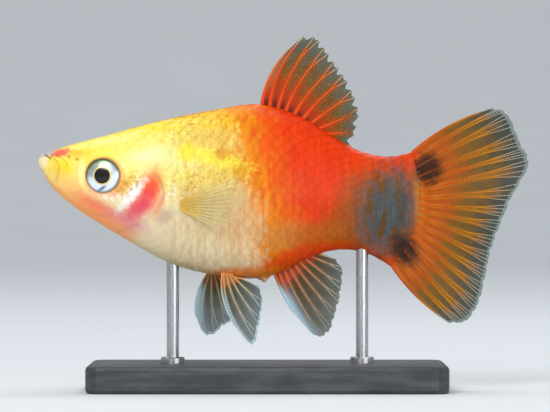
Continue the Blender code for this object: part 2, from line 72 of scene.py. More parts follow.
def srgb(red: int, green: int, blue: int) -> Colour:
    """Turn a display colour from 0 to 255 into the linear colour from 0 to 1 that shaders use."""
    shares = (red / 255, green / 255, blue / 255)
    return tuple(s / 12.92 if s <= 0.04045 else ((s + 0.055) / 1.055) ** 2.4 for s in shares)


def smooth_step(value: np.ndarray, low: float, high: float) -> np.ndarray:
    """Rise smoothly from 0 at low to 1 at high, which may be less than low."""
    share = np.clip((np.asarray(value, float) - low) / (high - low), 0, 1)
    return share * share * (3 - 2 * share)


def bell(value: np.ndarray, width: float, middle: float = 0.0) -> np.ndarray:
    """Return a bell curve, 1 at the middle."""
    return np.exp(-(((value - middle) / width) ** 2))


def blend(keys: Sequence[float], values: Sequence[float], at: np.ndarray) -> np.ndarray:
    """Read a smooth curve through values at keys, with each key's slope taken from its neighbours.

    Args:
        keys: Rising places of the values.
        values: The values there.
        at: Where to read the curve.

    Returns:
        The curve's values.
    """
    keys, values = np.asarray(keys, float), np.asarray(values, float)
    at = np.clip(np.asarray(at, float), keys[0], keys[-1])
    slopes = np.gradient(values, keys, axis=0)
    index = np.clip(np.searchsorted(keys, at, side="right") - 1, 0, len(keys) - 2)
    width = keys[index + 1] - keys[index]
    t = (at - keys[index]) / width
    return ((2 * t**3 - 3 * t**2 + 1) * values[index] + (t**3 - 2 * t**2 + t) * width * slopes[index]
            + (3 * t**2 - 2 * t**3) * values[index + 1] + (t**3 - t**2) * width * slopes[index + 1])


def smooth_line(points: Line, count: int) -> np.ndarray:
    """Place points evenly along a smooth curve through a few given ones.

    Args:
        points: The points that the curve passes.
        count: How many points to return.

    Returns:
        An array of count rows.
    """
    points = np.asarray(points, float)
    keys = np.concatenate([[0], np.cumsum(np.linalg.norm(np.diff(points, axis=0), axis=1))])
    at = np.linspace(0, keys[-1], count)
    return np.stack([blend(keys, points[:, k], at) for k in range(points.shape[1])], axis=1)


def distance_to(line: Line, x: np.ndarray, z: np.ndarray, count: int = 24) -> np.ndarray:
    """Measure how far places in the side view lie from a smooth line through a few points.

    Args:
        line: Points of the line.
        x: Where the places are along the fish.
        z: Their heights.
        count: How many points the line is drawn with.

    Returns:
        The distances, signed: negative on the front side of the line as it runs downwards.
    """
    points = smooth_line(line, count)
    start, step = points[:-1], np.diff(points, axis=0)
    spots = np.stack([x, z], axis=-1)[..., None, :]
    share = np.clip(((spots - start) * step).sum(-1) / (step**2).sum(-1), 0, 1)
    away = spots - (start + share[..., None] * step)
    length = np.linalg.norm(away, axis=-1)
    nearest = length.argmin(-1)[..., None]
    side = np.sign(step[:, 0] * away[..., 1] - step[:, 1] * away[..., 0])
    return np.take_along_axis(length * side, nearest, -1)[..., 0]


def hand(side: int) -> str:
    """Name the fish's own side, left for -1 and right for 1."""
    return "left" if side < 0 else "right"


def side_view_origin() -> Triple:
    """Return the world place of the lower jaw's tip at the datum's height, in millimetres."""
    return (round(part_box("lower_jaw")[0].x / MM, 3), 0.0,
            round(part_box("stand_base")[1].z / MM + DATUM_CLEARANCE, 3))


ORIGIN = side_view_origin()


class Piece:
    """Makes mesh objects in the fish's millimetres and hands them to the frame."""

    @staticmethod
    def build(
        name: str, points: np.ndarray, faces: Faces, uvs: Optional[dict[str, np.ndarray]] = None
    ) -> bpy.types.Object:
        """Make a closed, smooth-shaded mesh object with its faces outwards.

        Args:
            name: Name of the piece.
            points: Its points in the fish's millimetres.
            faces: Its faces, as point numbers, all turned alike.
            uvs: UV maps by name, each with one row for each point.

        Returns:
            The object, linked to the scene.
        """
        corners = np.array([face[:3] for face in faces] + [(f[0], f[2], f[3]) for f in faces if len(f) == 4])
        a, b, c = (points[corners[:, k]] for k in range(3))
        if np.einsum("ij,ij->i", a, np.cross(b, c)).sum() <= 0:
            faces = [face[::-1] for face in faces]
        mesh = bpy.data.meshes.new(name)
        mesh.from_pydata(((points + ORIGIN) * MM).tolist(), [], faces)
        corners = np.empty(len(mesh.loops), int)
        mesh.loops.foreach_get("vertex_index", corners)
        for label, places in (uvs or {}).items():
            mesh.uv_layers.new(name=label).data.foreach_set("uv", places[corners].ravel())
        mesh.shade_smooth()
        mesh.update()
        obj = bpy.data.objects.new(name, mesh)
        bpy.context.scene.collection.objects.link(obj)
        return obj

    @staticmethod
    def dress(obj: bpy.types.Object, material: bpy.types.Material, slot: str, *nodes: str) -> None:
        """Give a piece its material and its place in the frame.

        Args:
            obj: The piece.
            material: Its material.
            slot: Not used.
            *nodes: The CAD nodes that it stands for.
        """
        obj.data.materials.append(material)
        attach(obj, BODY)
        if nodes:
            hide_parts(*nodes)
        log.info("%s: %d faces", obj.name, len(obj.data.polygons))

    @staticmethod
    def grid_faces(rows: int, columns: int, around: bool = False, start: int = 0) -> Faces:
        """List the quads of a grid of points.

        Args:
            rows: Rows of points.
            columns: Points in a row.
            around: Whether the last column joins the first.
            start: Number of the first point.

        Returns:
            The faces.
        """
        reach = columns if around else columns - 1
        quads = [(k, (k + 1) % columns, columns + (k + 1) % columns, columns + k) for k in range(reach)]
        return [tuple(start + row * columns + k for k in quad) for row in range(rows - 1) for quad in quads]

    @staticmethod
    def tube_faces(rows: int, sides: int, start: int = 0) -> Faces:
        """List the faces of a tube with a flat cap at each end.

        Args:
            rows: Rings of points.
            sides: Points in a ring.
            start: Number of the first point.

        Returns:
            The faces.
        """
        last = start + (rows - 1) * sides
        caps = [tuple(start + k for k in reversed(range(sides))), tuple(last + k for k in range(sides))]
        return Piece.grid_faces(rows, sides, around=True, start=start) + caps

    @staticmethod
    def pod_faces(rows: int, sides: int) -> Faces:
        """List the faces of rings of points that two last points close, one at each end.

        Args:
            rows: Rings of points.
            sides: Points in a ring.

        Returns:
            The faces.
        """
        faces, last, end = Piece.grid_faces(rows, sides, around=True), (rows - 1) * sides, rows * sides
        for k in range(sides):
            after = (k + 1) % sides
            faces += [(after, k, end), (last + k, last + after, end + 1)]
        return faces

    @staticmethod
    def slab_faces(rows: int, columns: int) -> Faces:
        """List the faces of a slab: a grid, the same grid again behind it, and the rim between them.

        Args:
            rows: Rows of points in a grid.
            columns: Points in a row.

        Returns:
            The faces.
        """
        size = rows * columns
        faces = Piece.grid_faces(rows, columns)
        faces += [tuple(size + p for p in face[::-1]) for face in faces]
        rim = [*range(columns), *range(2 * columns - 1, size, columns)]
        rim += [*range(size - 2, size - columns - 1, -1), *range(size - 2 * columns, 0, -columns)]
        for here, after in zip(rim, rim[1:] + rim[:1]):
            faces.append((here, size + here, size + after, after))
        return faces


@dataclass(frozen=True)
class BodyShape:
    """The fish's body as sections along its length.

    Each row of stations is a distance behind the jaw's tip, the height of the back and of the belly there,
    the half width, the height of the widest point, and how full the section is above and below that point.

    Attributes:
        stations: The sections.
        swing_start: Where the tail starts to swing to the side.
        swing_at_tip: How far it swings at the end of the tail fin.
        length: Total length.
        arc_steps: Steps that the way round a flank is measured in.
        tail_base: The line where the tail's flesh ends.
    """

    stations: tuple[tuple[float, ...], ...] = (
        (0.00, 4.12, 3.30, 0.55, 3.80, 2.2, 2.0),
        (0.30, 4.46, 2.85, 0.98, 3.85, 2.3, 2.0),
        (1.10, 4.78, 1.42, 1.55, 3.70, 2.5, 1.9),
        (2.60, 5.34, -0.18, 2.14, 3.30, 2.6, 1.8),
        (4.80, 5.97, -1.90, 2.72, 2.80, 2.6, 1.8),
        (7.50, 6.68, -3.56, 3.20, 2.20, 2.6, 1.8),
        (11.0, 7.65, -5.70, 3.85, 1.30, 2.4, 1.9),
        (15.0, 8.63, -7.72, 4.38, 0.30, 2.2, 2.1),
        (19.5, 9.50, -8.88, 4.60, -0.60, 2.0, 2.2),
        (24.6, 10.16, -9.24, 4.25, -0.70, 1.9, 2.1),
        (27.0, 9.70, -8.66, 3.80, -0.30, 1.9, 2.0),
        (30.0, 8.44, -7.12, 3.10, 0.20, 1.9, 2.0),
        (33.0, 6.46, -6.16, 2.45, 0.00, 2.0, 2.0),
        (36.5, 4.74, -6.42, 1.85, -0.80, 2.1, 2.1),
        (39.5, 4.34, -8.00, 1.38, -1.50, 2.2, 2.2),
        (42.0, 4.90, -9.80, 1.02, -1.60, 2.2, 2.2),
        (44.0, 5.90, -11.2, 0.80, -1.60, 2.2, 2.2),
    )
    swing_start: float = 20.0
    swing_at_tip: float = 2.4
    length: float = 55.0
    arc_steps: int = 180
    tail_base: Line = ((42.1, 5.3), (42.8, 2.5), (43.0, -0.5), (42.5, -3.8), (41.0, -6.8), (39.6, -8.4))

    def station(self, x: np.ndarray) -> list[np.ndarray]:
        """Return back, belly, half width, widest height, upper and lower fullness at x."""
        table = np.array(self.stations)
        return [blend(table[:, 0], table[:, k], x) for k in range(1, table.shape[1])]

    def swing(self, x: np.ndarray) -> np.ndarray:
        """Return how far the body's middle plane lies to the side at x."""
        share = np.clip((np.asarray(x, float) - self.swing_start) / (self.length - self.swing_start), 0, 1)
        return self.swing_at_tip * share**2

    def point(self, x: np.ndarray, angle: np.ndarray) -> np.ndarray:
        """Find points of the plain body surface.

        Args:
            x: Distances behind the jaw's tip.
            angle: Angles round the section, 0 at the back and growing towards +Y.

        Returns:
            The points, with the three coordinates in the last axis.
        """
        x, angle = np.broadcast_arrays(np.asarray(x, float), np.asarray(angle, float))
        back, belly, half_width, widest, upper, lower = self.station(x)
        above = np.cos(angle) >= 0
        fullness = np.where(above, upper, lower)
        reach = np.where(above, back - widest, widest - belly)
        z = widest + np.sign(np.cos(angle)) * reach * np.abs(np.cos(angle)) ** (2 / fullness)
        y = half_width * np.sign(np.sin(angle)) * np.abs(np.sin(angle)) ** (2 / fullness)
        return np.stack([x, y + self.swing(x), z], axis=-1)

    def angle(self, x: np.ndarray, share: np.ndarray) -> np.ndarray:
        """Find the angle of a share of the way round one flank.

        Args:
            x: Distances behind the jaw's tip.
            share: Shares of the arc from the back, 0, to the belly, 1.

        Returns:
            The angles, from 0 to pi.
        """
        x, share = np.broadcast_arrays(np.asarray(x, float), np.asarray(share, float))
        angles = np.linspace(0, math.pi, self.arc_steps + 1)
        result = np.empty(x.shape)
        for place in np.unique(x):
            ring = self.point(np.full(angles.shape, place), angles)
            arc = np.concatenate([[0], np.cumsum(np.linalg.norm(np.diff(ring, axis=0), axis=1))])
            chosen = x == place
            result[chosen] = np.interp(share[chosen] * arc[-1], arc, angles)
        return result

    def tail_end(self, z: np.ndarray) -> np.ndarray:
        """Return how far back the flesh of the tail reaches at height z."""
        line = smooth_line(self.tail_base, 60)[::-1]
        return np.interp(z, line[:, 1], line[:, 0])

    def flank(self, x: float, z: float) -> float:
        """Return the body's half width at x and height z, which lies below its widest point."""
        _, belly, half_width, widest, _, lower = self.station(np.array(x))
        return float(half_width * (1 - ((widest - z) / (widest - belly)) ** lower) ** (1 / lower))

    def underside(self, x: np.ndarray, y: np.ndarray) -> np.ndarray:
        """Find how low the belly's skin is.

        Args:
            x: Distances behind the jaw's tip.
            y: Distances to the side of the middle plane.

        Returns:
            The heights.
        """
        _, belly, half_width, widest, _, lower = self.station(x)
        share = np.minimum(1.0, np.abs(y) / half_width)
        return widest - (widest - belly) * (1 - share**lower) ** (1 / lower)


SHAPE = BodyShape()


class Nodes:
    """Adds and wires shader nodes in one tree."""

    def __init__(self, tree: bpy.types.NodeTree) -> None:
        """Keep the tree that the nodes go into."""
        self.tree = tree

    def feed(self, socket: Socket, value: object) -> None:
        """Link a socket into an input, or set the input's own value.

        Args:
            socket: The input.
            value: The socket or plain value that it takes.
        """
        if isinstance(value, bpy.types.NodeSocket):
            self.tree.links.new(value, socket)
        else:
            socket.default_value = (*value, 1.0) if socket.type == "RGBA" else value

    def add(self, kind: str, inputs: dict, **settings: object) -> bpy.types.bpy_prop_collection:
        """Add a node.

        Args:
            kind: The node's type, without its ShaderNode prefix.
            inputs: Values or sockets for its inputs, by name or number.
            **settings: Properties of the node.

        Returns:
            Its outputs.
        """
        node = self.tree.nodes.new("ShaderNode" + kind)
        for name, value in settings.items():
            setattr(node, name, value)
        for name, value in inputs.items():
            self.feed(node.inputs[name], value)
        return node.outputs

    def group(self, tree: bpy.types.NodeTree, **inputs: object) -> bpy.types.bpy_prop_collection:
        """Add a node group and return its outputs."""
        return self.add("Group", inputs, node_tree=tree)

    def math(self, operation: str, *values: Value) -> Socket:
        """Return the result of a Math node."""
        return self.add("Math", dict(enumerate(values)), operation=operation)[0]

    def chain(self, operation: str, first: Value, *others: Value) -> Socket:
        """Join values one after another.

        Args:
            operation: The Math nodes' operation.
            first: The first value.
            *others: The values that follow.

        Returns:
            The result.
        """
        for other in others:
            first = self.math(operation, first, other)
        return first

    def product(self, *values: Value) -> Socket:
        """Return the product of several values."""
        return self.chain("MULTIPLY", *values)

    def sum(self, *values: Value) -> Socket:
        """Return the sum of several values."""
        return self.chain("ADD", *values)

    def largest(self, *values: Value) -> Socket:
        """Return the largest of several values."""
        return self.chain("MAXIMUM", *values)

    def about(self, value: Value, size: Value) -> Socket:
        """Turn a value from 0 to 1 into one about 0 that spans size."""
        return self.product(self.math("SUBTRACT", value, 0.5), size)

    def step(self, value: Value, low: Value, high: Value) -> Socket:
        """Return a smooth rise from 0 at low to 1 at high."""
        return self.add("MapRange", {0: value, 1: low, 2: high}, interpolation_type="SMOOTHSTEP")[0]

    def span(self, value: Value, low: float, high: float, start: float, end: float) -> Socket:
        """Return a straight map from low..high to start..end, clamped."""
        return self.add("MapRange", {0: value, 1: low, 2: high, 3: start, 4: end})[0]

    def wave(self, phase: Value, low: float, high: float) -> Socket:
        """Return a smooth step of a phase's cosine."""
        return self.step(self.math("COSINE", phase), low, high)

    def mix(self, factor: Value, first: object, second: object, blend_type: str = "MIX") -> Socket:
        """Return a mix of two colours."""
        inputs = {0: factor, 6: first, 7: second}
        return self.add("Mix", inputs, data_type="RGBA", blend_type=blend_type)[2]

    def shade(self, factor: Value, colour: object, tint: object) -> Socket:
        """Return a colour multiplied by a tint where the factor says."""
        return self.mix(factor, colour, tint, "MULTIPLY")

    def noise(
        self, vector: Socket, scale: Value, detail: float = 2.0, roughness: float = 0.5,
        stretch: Triple = (1, 1, 1)
    ) -> Socket:
        """Return a noise value from 0 to 1.

        Args:
            vector: Where to read the noise.
            scale: How fine it is.
            detail: How many finer layers it has.
            roughness: How strong those are.
            stretch: How much finer it is along each axis.

        Returns:
            The value.
        """
        if stretch != (1, 1, 1):
            vector = self.add("VectorMath", {0: vector, 1: stretch}, operation="MULTIPLY")[0]
        inputs = {"Vector": vector, "Scale": scale, "Detail": detail, "Roughness": roughness}
        return self.add("TexNoise", inputs)[0]

    def parts(self, vector: Socket) -> bpy.types.bpy_prop_collection:
        """Return a vector's three parts."""
        return self.add("SeparateXYZ", {0: vector})

    def unwrap(self, name: str) -> bpy.types.bpy_prop_collection:
        """Return the parts of a UV map's places."""
        return self.parts(self.add("UVMap", {}, uv_map=name)[0])

    def bump(self, height: Socket, strength: float, distance: float) -> Socket:
        """Return a normal bumped by a height, with the distance in millimetres."""
        return self.add("Bump", {"Height": height, "Strength": strength, "Distance": distance * MM})[0]


class Effect:
    """A shared shader effect: a node group that is built once and placed in each material."""

    def __init__(self, name: str, inputs: dict[str, object], outputs: dict[str, str]) -> None:
        """Start the group.

        Args:
            name: Name of the group.
            inputs: Default value of each input. A number makes a float, a three-part tuple a vector.
            outputs: Kind of each output: Float, Color or Vector.
        """
        self.tree = bpy.data.node_groups.new(name, "ShaderNodeTree")
        for label, value in inputs.items():
            kind = "NodeSocketVector" if isinstance(value, tuple) else "NodeSocketFloat"
            self.tree.interface.new_socket(label, in_out="INPUT", socket_type=kind).default_value = value
        for label, kind in outputs.items():
            self.tree.interface.new_socket(label, in_out="OUTPUT", socket_type="NodeSocket" + kind)
        self.nodes = Nodes(self.tree)
        self.given = self.tree.nodes.new("NodeGroupInput").outputs
        self.result = self.tree.nodes.new("NodeGroupOutput").inputs

    def put(self, **results: Socket) -> bpy.types.NodeTree:
        """Wire the group's outputs.

        Args:
            **results: The sockets that go out, by name.

        Returns:
            The group's tree.
        """
        for name, socket in results.items():
            self.tree.links.new(socket, self.result[name])
        return self.tree


def fish_space_effect() -> bpy.types.NodeTree:
    """Build the group that turns object positions into the fish's millimetres.

    Returns:
        The group. It puts out the position, and its X and Z.
    """
    outputs = {"Position": "Vector", "X": "Float", "Z": "Float"}
    effect = Effect("fish space", {"Object": (0.0, 0.0, 0.0)}, outputs)
    n = effect.nodes
    inputs = {0: effect.given["Object"], 1: (1 / MM,) * 3, 2: [-c for c in ORIGIN]}
    shifted = n.add("VectorMath", inputs, operation="MULTIPLY_ADD")[0]
    parts = n.parts(shifted)
    return effect.put(Position=shifted, X=parts[0], Z=parts[2])


def patch_effect() -> bpy.types.NodeTree:
    """Build the group for one soft, ragged, tilted patch in the side view, the same on both sides.

    Returns:
        The group. Its Mask is 1 inside the patch and 0 outside.
    """
    effect = Effect("soft patch", {
        "Position": (0.0, 0.0, 0.0), "Centre": (0.0, 0.0, 0.0), "Length": 1.0, "Height": 1.0, "Tilt": 0.0,
        "Softness": 0.3, "Ragged": 0.2, "Grain": 1.2}, {"Mask": "Float"})
    n, given = effect.nodes, effect.given
    flat = n.add("VectorMath", {0: given["Position"], 1: (1.0, 0.0, 1.0)}, operation="MULTIPLY")[0]
    away = n.add("VectorMath", {0: flat, 1: given["Centre"]}, operation="SUBTRACT")[0]
    turned = n.add("VectorRotate", {"Vector": away, "Angle": given["Tilt"]}, rotation_type="Y_AXIS")[0]
    parts = n.parts(turned)
    along = n.math("DIVIDE", parts[0], given["Length"])
    up = n.math("DIVIDE", parts[2], given["Height"])
    reach = n.math("SQRT", n.sum(n.product(along, along), n.product(up, up)))
    wander = n.product(n.about(n.noise(flat, given["Grain"], 3.0), given["Ragged"]), 2.0)
    soft = given["Softness"]
    return effect.put(Mask=n.step(n.sum(reach, wander), n.sum(1.0, soft), n.math("SUBTRACT", 1.0, soft)))


def speck_effect() -> bpy.types.NodeTree:
    """Build the group for small scattered specks.

    Returns:
        The group. Its Mask is 1 on a speck.
    """
    effect = Effect("specks", {
        "Position": (0.0, 0.0, 0.0), "Scale": 1.5, "Level": 0.58, "Softness": 0.06}, {"Mask": "Float"})
    n, given = effect.nodes, effect.given
    grain = n.noise(given["Position"], given["Scale"], 3.5, 0.62)
    low = n.math("SUBTRACT", given["Level"], given["Softness"])
    return effect.put(Mask=n.step(grain, low, n.sum(given["Level"], given["Softness"])))


def joint_effect() -> bpy.types.NodeTree:
    """Build the group for the joints that a soft fin ray is divided by.

    Returns:
        The group. Its Mask is 1 on a joint.
    """
    effect = Effect("ray joints", {"Distance": 0.0, "Pitch": 0.35, "Start": 1.5}, {"Mask": "Float"})
    n, given = effect.nodes, effect.given
    mask = n.wave(n.math("DIVIDE", n.product(given["Distance"], 2 * math.pi), given["Pitch"]), 0.35, 1.0)
    started = n.step(given["Distance"], given["Start"], n.sum(given["Start"], 1.0))
    return effect.put(Mask=n.product(mask, started))


class Effects:
    """The shared effects of all the materials, each built once."""

    def __init__(self) -> None:
        """Build the groups."""
        self.space = fish_space_effect()
        self.patch = patch_effect()
        self.specks = speck_effect()
        self.joints = joint_effect()
        self.markings = Markings().effect(self)


@dataclass(frozen=True)
class Patch:
    """One coloured patch of the fish's markings, placed in the side view.

    Attributes:
        x: Its middle, behind the jaw's tip.
        z: Its middle's height.
        length: Half its length.
        height: Half its height.
        tilt: How far it is turned, in degrees, with its rear end down.
        colour: Its colour.
        strength: How much it covers.
        softness: How soft its edge is, as a share of its size.
        ragged: How much its edge wanders.
        grain: How fine that wandering is.
    """

    x: float
    z: float
    length: float
    height: float
    tilt: float
    colour: Colour = (0.0, 0.0, 0.0)
    strength: float = 1.0
    softness: float = 0.45
    ragged: float = 0.25
    grain: float = 1.2

    def mask(self, n: Nodes, effects: Effects, position: Socket) -> Socket:
        """Place the patch.

        Args:
            n: The tree's nodes.
            effects: The shared effects.
            position: The place on the fish.

        Returns:
            Its mask.
        """
        return n.group(effects.patch, Position=position, Centre=(self.x, 0.0, self.z), Length=self.length,
                       Height=self.height, Tilt=-math.radians(self.tilt), Softness=self.softness,
                       Ragged=self.ragged, Grain=self.grain)[0]

    def over(self, n: Nodes, effects: Effects, position: Socket, colour: object) -> Socket:
        """Return a colour with the patch laid over it."""
        return n.mix(n.product(self.mask(n, effects, position), self.strength), colour, self.colour)


@dataclass(frozen=True)
class Specks:
    """Small scattered specks in one region of the side view.

    Attributes:
        scale: How fine they are.
        level: How sparse they are.
        softness: How soft their edges are.
        colour: Their colour.
        strength: How much they cover.
        fades_x: Where along the fish they fade in or out, each from nothing to full.
        fade_z: The heights between which they fade in.
    """

    scale: float
    level: float
    softness: float
    colour: Colour
    strength: float
    fades_x: Line = ()
    fade_z: Optional[tuple[float, float]] = None

    def mask(self, n: Nodes, effects: Effects, position: Socket, x: Socket, z: Socket) -> Socket:
        """Place the specks, faded at the region's edges.

        Args:
            n: The tree's nodes.
            effects: The shared effects.
            position: The place on the fish.
            x: Its distance behind the jaw's tip.
            z: Its height.

        Returns:
            Their mask.
        """
        specks = n.group(effects.specks, Position=position, Scale=self.scale, Level=self.level,
                         Softness=self.softness)[0]
        fades = [n.step(x, *fade) for fade in self.fades_x]
        if self.fade_z:
            fades.append(n.step(z, *self.fade_z))
        return n.product(specks, *fades)


@dataclass(frozen=True)
class Markings:
    """The fish's colours and where they lie, with painted highlights on the upper flank and temple and
    painted shade along the bottom of the belly.
    """

    lemon: Colour = srgb(244, 216, 18)
    gold: Colour = srgb(240, 168, 20)
    straw: Colour = srgb(241, 228, 118)
    tan: Colour = srgb(240, 212, 104)
    cream: Colour = srgb(232, 212, 172)
    # Painted shade: darker beige where the belly turns under.
    belly_painted_shade: Colour = srgb(224, 200, 150)
    chin: Colour = srgb(250, 158, 84)
    coral: Colour = srgb(226, 68, 0)
    rust: Colour = srgb(178, 84, 6)
    slate_grey: Colour = srgb(70, 84, 88)
    olive: Colour = srgb(92, 68, 18)
    sheen: Colour = srgb(104, 120, 130)
    ink: Colour = srgb(40, 24, 14)
    border: tuple[tuple[float, float, float, Colour], ...] = (
        (-1.6, 1.4, 1.0, srgb(240, 140, 0)),
        (1.0, 4.4, 1.0, srgb(238, 88, 0)),
        (3.8, 7.2, 0.95, srgb(236, 56, 0)),
    )
    border_z: tuple[float, float] = (9.0, -5.0)
    border_x: tuple[float, float] = (21.1, 24.8)
    specks: tuple[Specks, ...] = (
        Specks(2.1, 0.585, 0.06, srgb(214, 140, 10), 0.85, ((12.0, 17.0), (26.0, 23.0)), (-1.5, 1.5)),
        Specks(1.7, 0.60, 0.07, srgb(214, 140, 10), 0.50, ((3.5, 6.0), (18.0, 13.0)), (3.2, 4.6)),
        Specks(1.1, 0.60, 0.05, srgb(244, 220, 10), 0.75, ((7.5, 10.0), (22.0, 17.0)), (1.2, 2.6)),
        Specks(0.8, 0.56, 0.09, srgb(248, 244, 200), 0.45, ((7.5, 10.0), (22.0, 17.0), (17.0, 13.0)),
               (1.2, 2.6)),
    )
    flank: tuple[Patch, ...] = (
        # Painted highlights: a pale yellow pool of light on the upper flank behind the head, and a paler one
        # on the temple.
        Patch(14.2, 3.9, 3.4, 1.9, -8, srgb(244, 238, 150), 0.75, 0.8, 0.4),
        Patch(10.4, 5.2, 3.4, 1.1, 10, srgb(248, 244, 200), 0.55, 0.7, 0.6),
        Patch(4.7, 4.5, 1.7, 0.6, 6, srgb(226, 162, 16), 0.70, 0.7, 1.2, 2.4),
        Patch(4.6, -0.3, 2.6, 1.2, 42, srgb(252, 204, 132), 0.55, 0.8, 0.4),
        Patch(19.4, 6.2, 2.6, 1.8, 8, srgb(240, 200, 88), 0.55, 0.7, 0.6),
        Patch(16.7, 4.75, 1.0, 1.0, 0, srgb(246, 226, 10), 0.90, 0.5, 0.9, 2.0),
        Patch(19.9, 4.1, 3.4, 0.85, 16, srgb(250, 238, 60), 0.90, 0.6, 1.3, 1.9),
        Patch(20.7, 4.6, 0.95, 0.75, 0, srgb(226, 156, 10), 0.85, 0.5, 1.0, 2.4),
        Patch(22.6, 2.6, 0.8, 0.9, 0, srgb(230, 160, 20), 0.80, 0.6, 1.0, 2.0),
        Patch(19.5, -2.9, 3.2, 2.0, 0, srgb(224, 204, 150), 0.45, 0.8, 0.5),
        Patch(22.6, -3.0, 2.3, 3.2, 0, srgb(240, 188, 128), 0.70, 0.8, 0.6),
        Patch(27.4, -4.6, 2.6, 1.5, -10, srgb(212, 138, 62), 0.75, 0.8, 0.6),
        Patch(32.0, -4.2, 3.4, 1.2, -4, srgb(186, 100, 20), 0.70, 0.8, 0.6),
        Patch(22.6, -8.9, 3.4, 0.8, 0, srgb(244, 140, 50), 0.90, 0.5, 0.6),
        Patch(25.2, -9.75, 0.8, 0.5, 0, srgb(255, 222, 196), 0.85, 0.4, 0.2),
        Patch(28.6, -6.9, 3.6, 0.9, -16, srgb(240, 76, 20), 0.85, 0.6, 0.4),
    )
    head: tuple[Patch, ...] = (
        Patch(8.2, 4.9, 4.6, 1.1, -14, srgb(244, 226, 60), 0.70, 0.7, 0.4),
        Patch(2.55, 3.1, 1.2, 1.0, 20, srgb(248, 218, 20), 0.95, 0.6, 0.5, 2.4),
        Patch(4.9, 2.2, 0.45, 1.6, 0, srgb(255, 244, 170), 0.70, 0.6, 0.3),
        Patch(3.9, 0.5, 3.6, 1.1, 42, srgb(252, 196, 112), 0.75, 0.8, 0.4),
        Patch(0.55, 3.9, 0.5, 0.75, 0, srgb(250, 232, 190), 0.85, 0.6, 0.3),
        Patch(7.0, -1.85, 3.1, 1.05, 34, srgb(242, 112, 92), 0.90, 0.7, 0.4, 1.6),
        Patch(9.7, -3.0, 2.4, 1.0, 18, srgb(214, 140, 148), 0.85, 0.7, 0.4, 1.6),
        Patch(2.42, 4.74, 1.10, 0.42, -12, srgb(228, 92, 78), 0.95, 0.45, 0.8, 2.2),
        Patch(1.0, 4.62, 0.75, 0.25, -16, srgb(168, 174, 190), 0.85, 0.5, 0.3),
        Patch(7.9, 0.1, 1.9, 0.55, 14, srgb(252, 226, 214), 0.60, 0.6, 0.8, 2.4),
        Patch(7.45, 2.05, 2.30, 2.30, 0, srgb(250, 172, 110), 0.60, 0.10, 0.05),
        Patch(10.0, 1.2, 1.7, 0.65, -36, srgb(226, 150, 60), 0.60, 0.6, 1.0, 2.6),
        Patch(11.35, 1.6, 1.3, 0.7, -62, srgb(255, 240, 150), 0.80, 0.5, 0.5, 2.0),
        Patch(12.62, 0.62, 1.12, 2.1, 14, srgb(238, 74, 44), 0.95, 0.75, 0.35, 1.3),
        Patch(11.25, -1.25, 1.85, 1.08, -44, srgb(228, 66, 96), 0.92, 0.75, 0.35, 1.3),
        Patch(13.6, -1.2, 0.45, 1.6, 24, srgb(248, 172, 130), 0.75, 0.5, 0.6, 2.0),
    )
    streak: Patch = Patch(10.55, 0.15, 2.00, 0.52, -50, srgb(255, 252, 250), 0.95, 0.6, 0.9, 1.9)
    rear: tuple[Patch, ...] = (
        Patch(14.2, -2.3, 1.1, 0.7, -30, srgb(176, 142, 124), 0.55, 0.7, 0.6),
        Patch(38.2, -2.4, 4.6, 3.9, 0, srgb(156, 80, 14), 0.80, 0.6, 0.5, 0.8),
        Patch(42.7, -1.0, 0.7, 3.4, -2, srgb(206, 140, 36), 0.60, 0.6, 0.5),
    )
    lace: Patch = Patch(10.5, 1.3, 2.0, 1.0, -40, softness=0.6, ragged=0.5)
    threads: Specks = Specks(2.3, 0.53, 0.05, srgb(206, 130, 40), 0.65)
    blotch: Patch = Patch(39.1, -1.8, 3.3, 4.6, 10, softness=0.60, ragged=0.6, grain=0.9)
    spots: tuple[Patch, ...] = (
        Patch(43.70, 3.0, 1.55, 1.75, 0, softness=0.50, ragged=0.45, grain=1.8),
        Patch(41.0, -6.2, 1.90, 1.30, 52, softness=0.55, ragged=0.45, grain=1.8),
    )
    glints: Specks = Specks(2.6, 0.56, 0.05, srgb(255, 250, 235), 1.0)
    glint_places: tuple[Patch, ...] = (
        Patch(14.7, 0.35, 0.8, 1.0, 20),
        Patch(8.3, -0.35, 1.5, 0.5, 10, strength=0.7),
    )

    def effect(self, effects: Effects) -> bpy.types.NodeTree:
        """Build the group that paints the markings.

        Args:
            effects: The shared effects, with the fish's space, patches and specks ready.

        Returns:
            The group, with Object and Depth inputs. Depth is the share of the way from the back, 0, to the
            belly, 1. It puts out Color, Shine, where the skin is silvery, and Spot, on the tail's dark spots.
        """
        effect = Effect("platy markings", {"Object": (0.0, 0.0, 0.0), "Depth": 0.5}, {
            "Color": "Color", "Shine": "Float", "Spot": "Float"})
        n, depth = effect.nodes, effect.given["Depth"]
        space = n.group(effects.space, Object=effect.given["Object"])
        position, x, z = space["Position"], space["X"], space["Z"]
        place = (n, effects, position)
        colour = self.ground(n, position, x, z, depth)
        for specks in self.specks:
            colour = n.mix(n.product(specks.mask(*place, x, z), specks.strength), colour, specks.colour)
        for patch in (*self.flank, *self.head, self.streak, *self.rear):
            colour = patch.over(*place, colour)
        lace = n.product(self.lace.mask(*place), self.threads.mask(*place, x, z), self.threads.strength)
        colour = n.mix(lace, colour, self.threads.colour)
        colour = n.mix(n.product(n.step(depth, 0.72, 0.90), n.step(x, 12.0, 9.0), 0.85), colour, self.chin)

        mottle = n.noise(position, 0.8, 3.0, 0.6, (1.5, 1.0, 0.5))
        grey = n.mix(n.step(mottle, 0.36, 0.50), self.olive, self.slate_grey)
        grey = n.mix(n.product(n.step(mottle, 0.58, 0.72), 0.5), grey, self.sheen)
        colour = n.mix(n.product(self.blotch.mask(*place), n.step(x, 42.9, 41.7), 0.97), colour, grey)
        spots = n.largest(*(patch.mask(*place) for patch in self.spots))
        colour = n.mix(n.product(spots, 0.9), colour, self.ink)

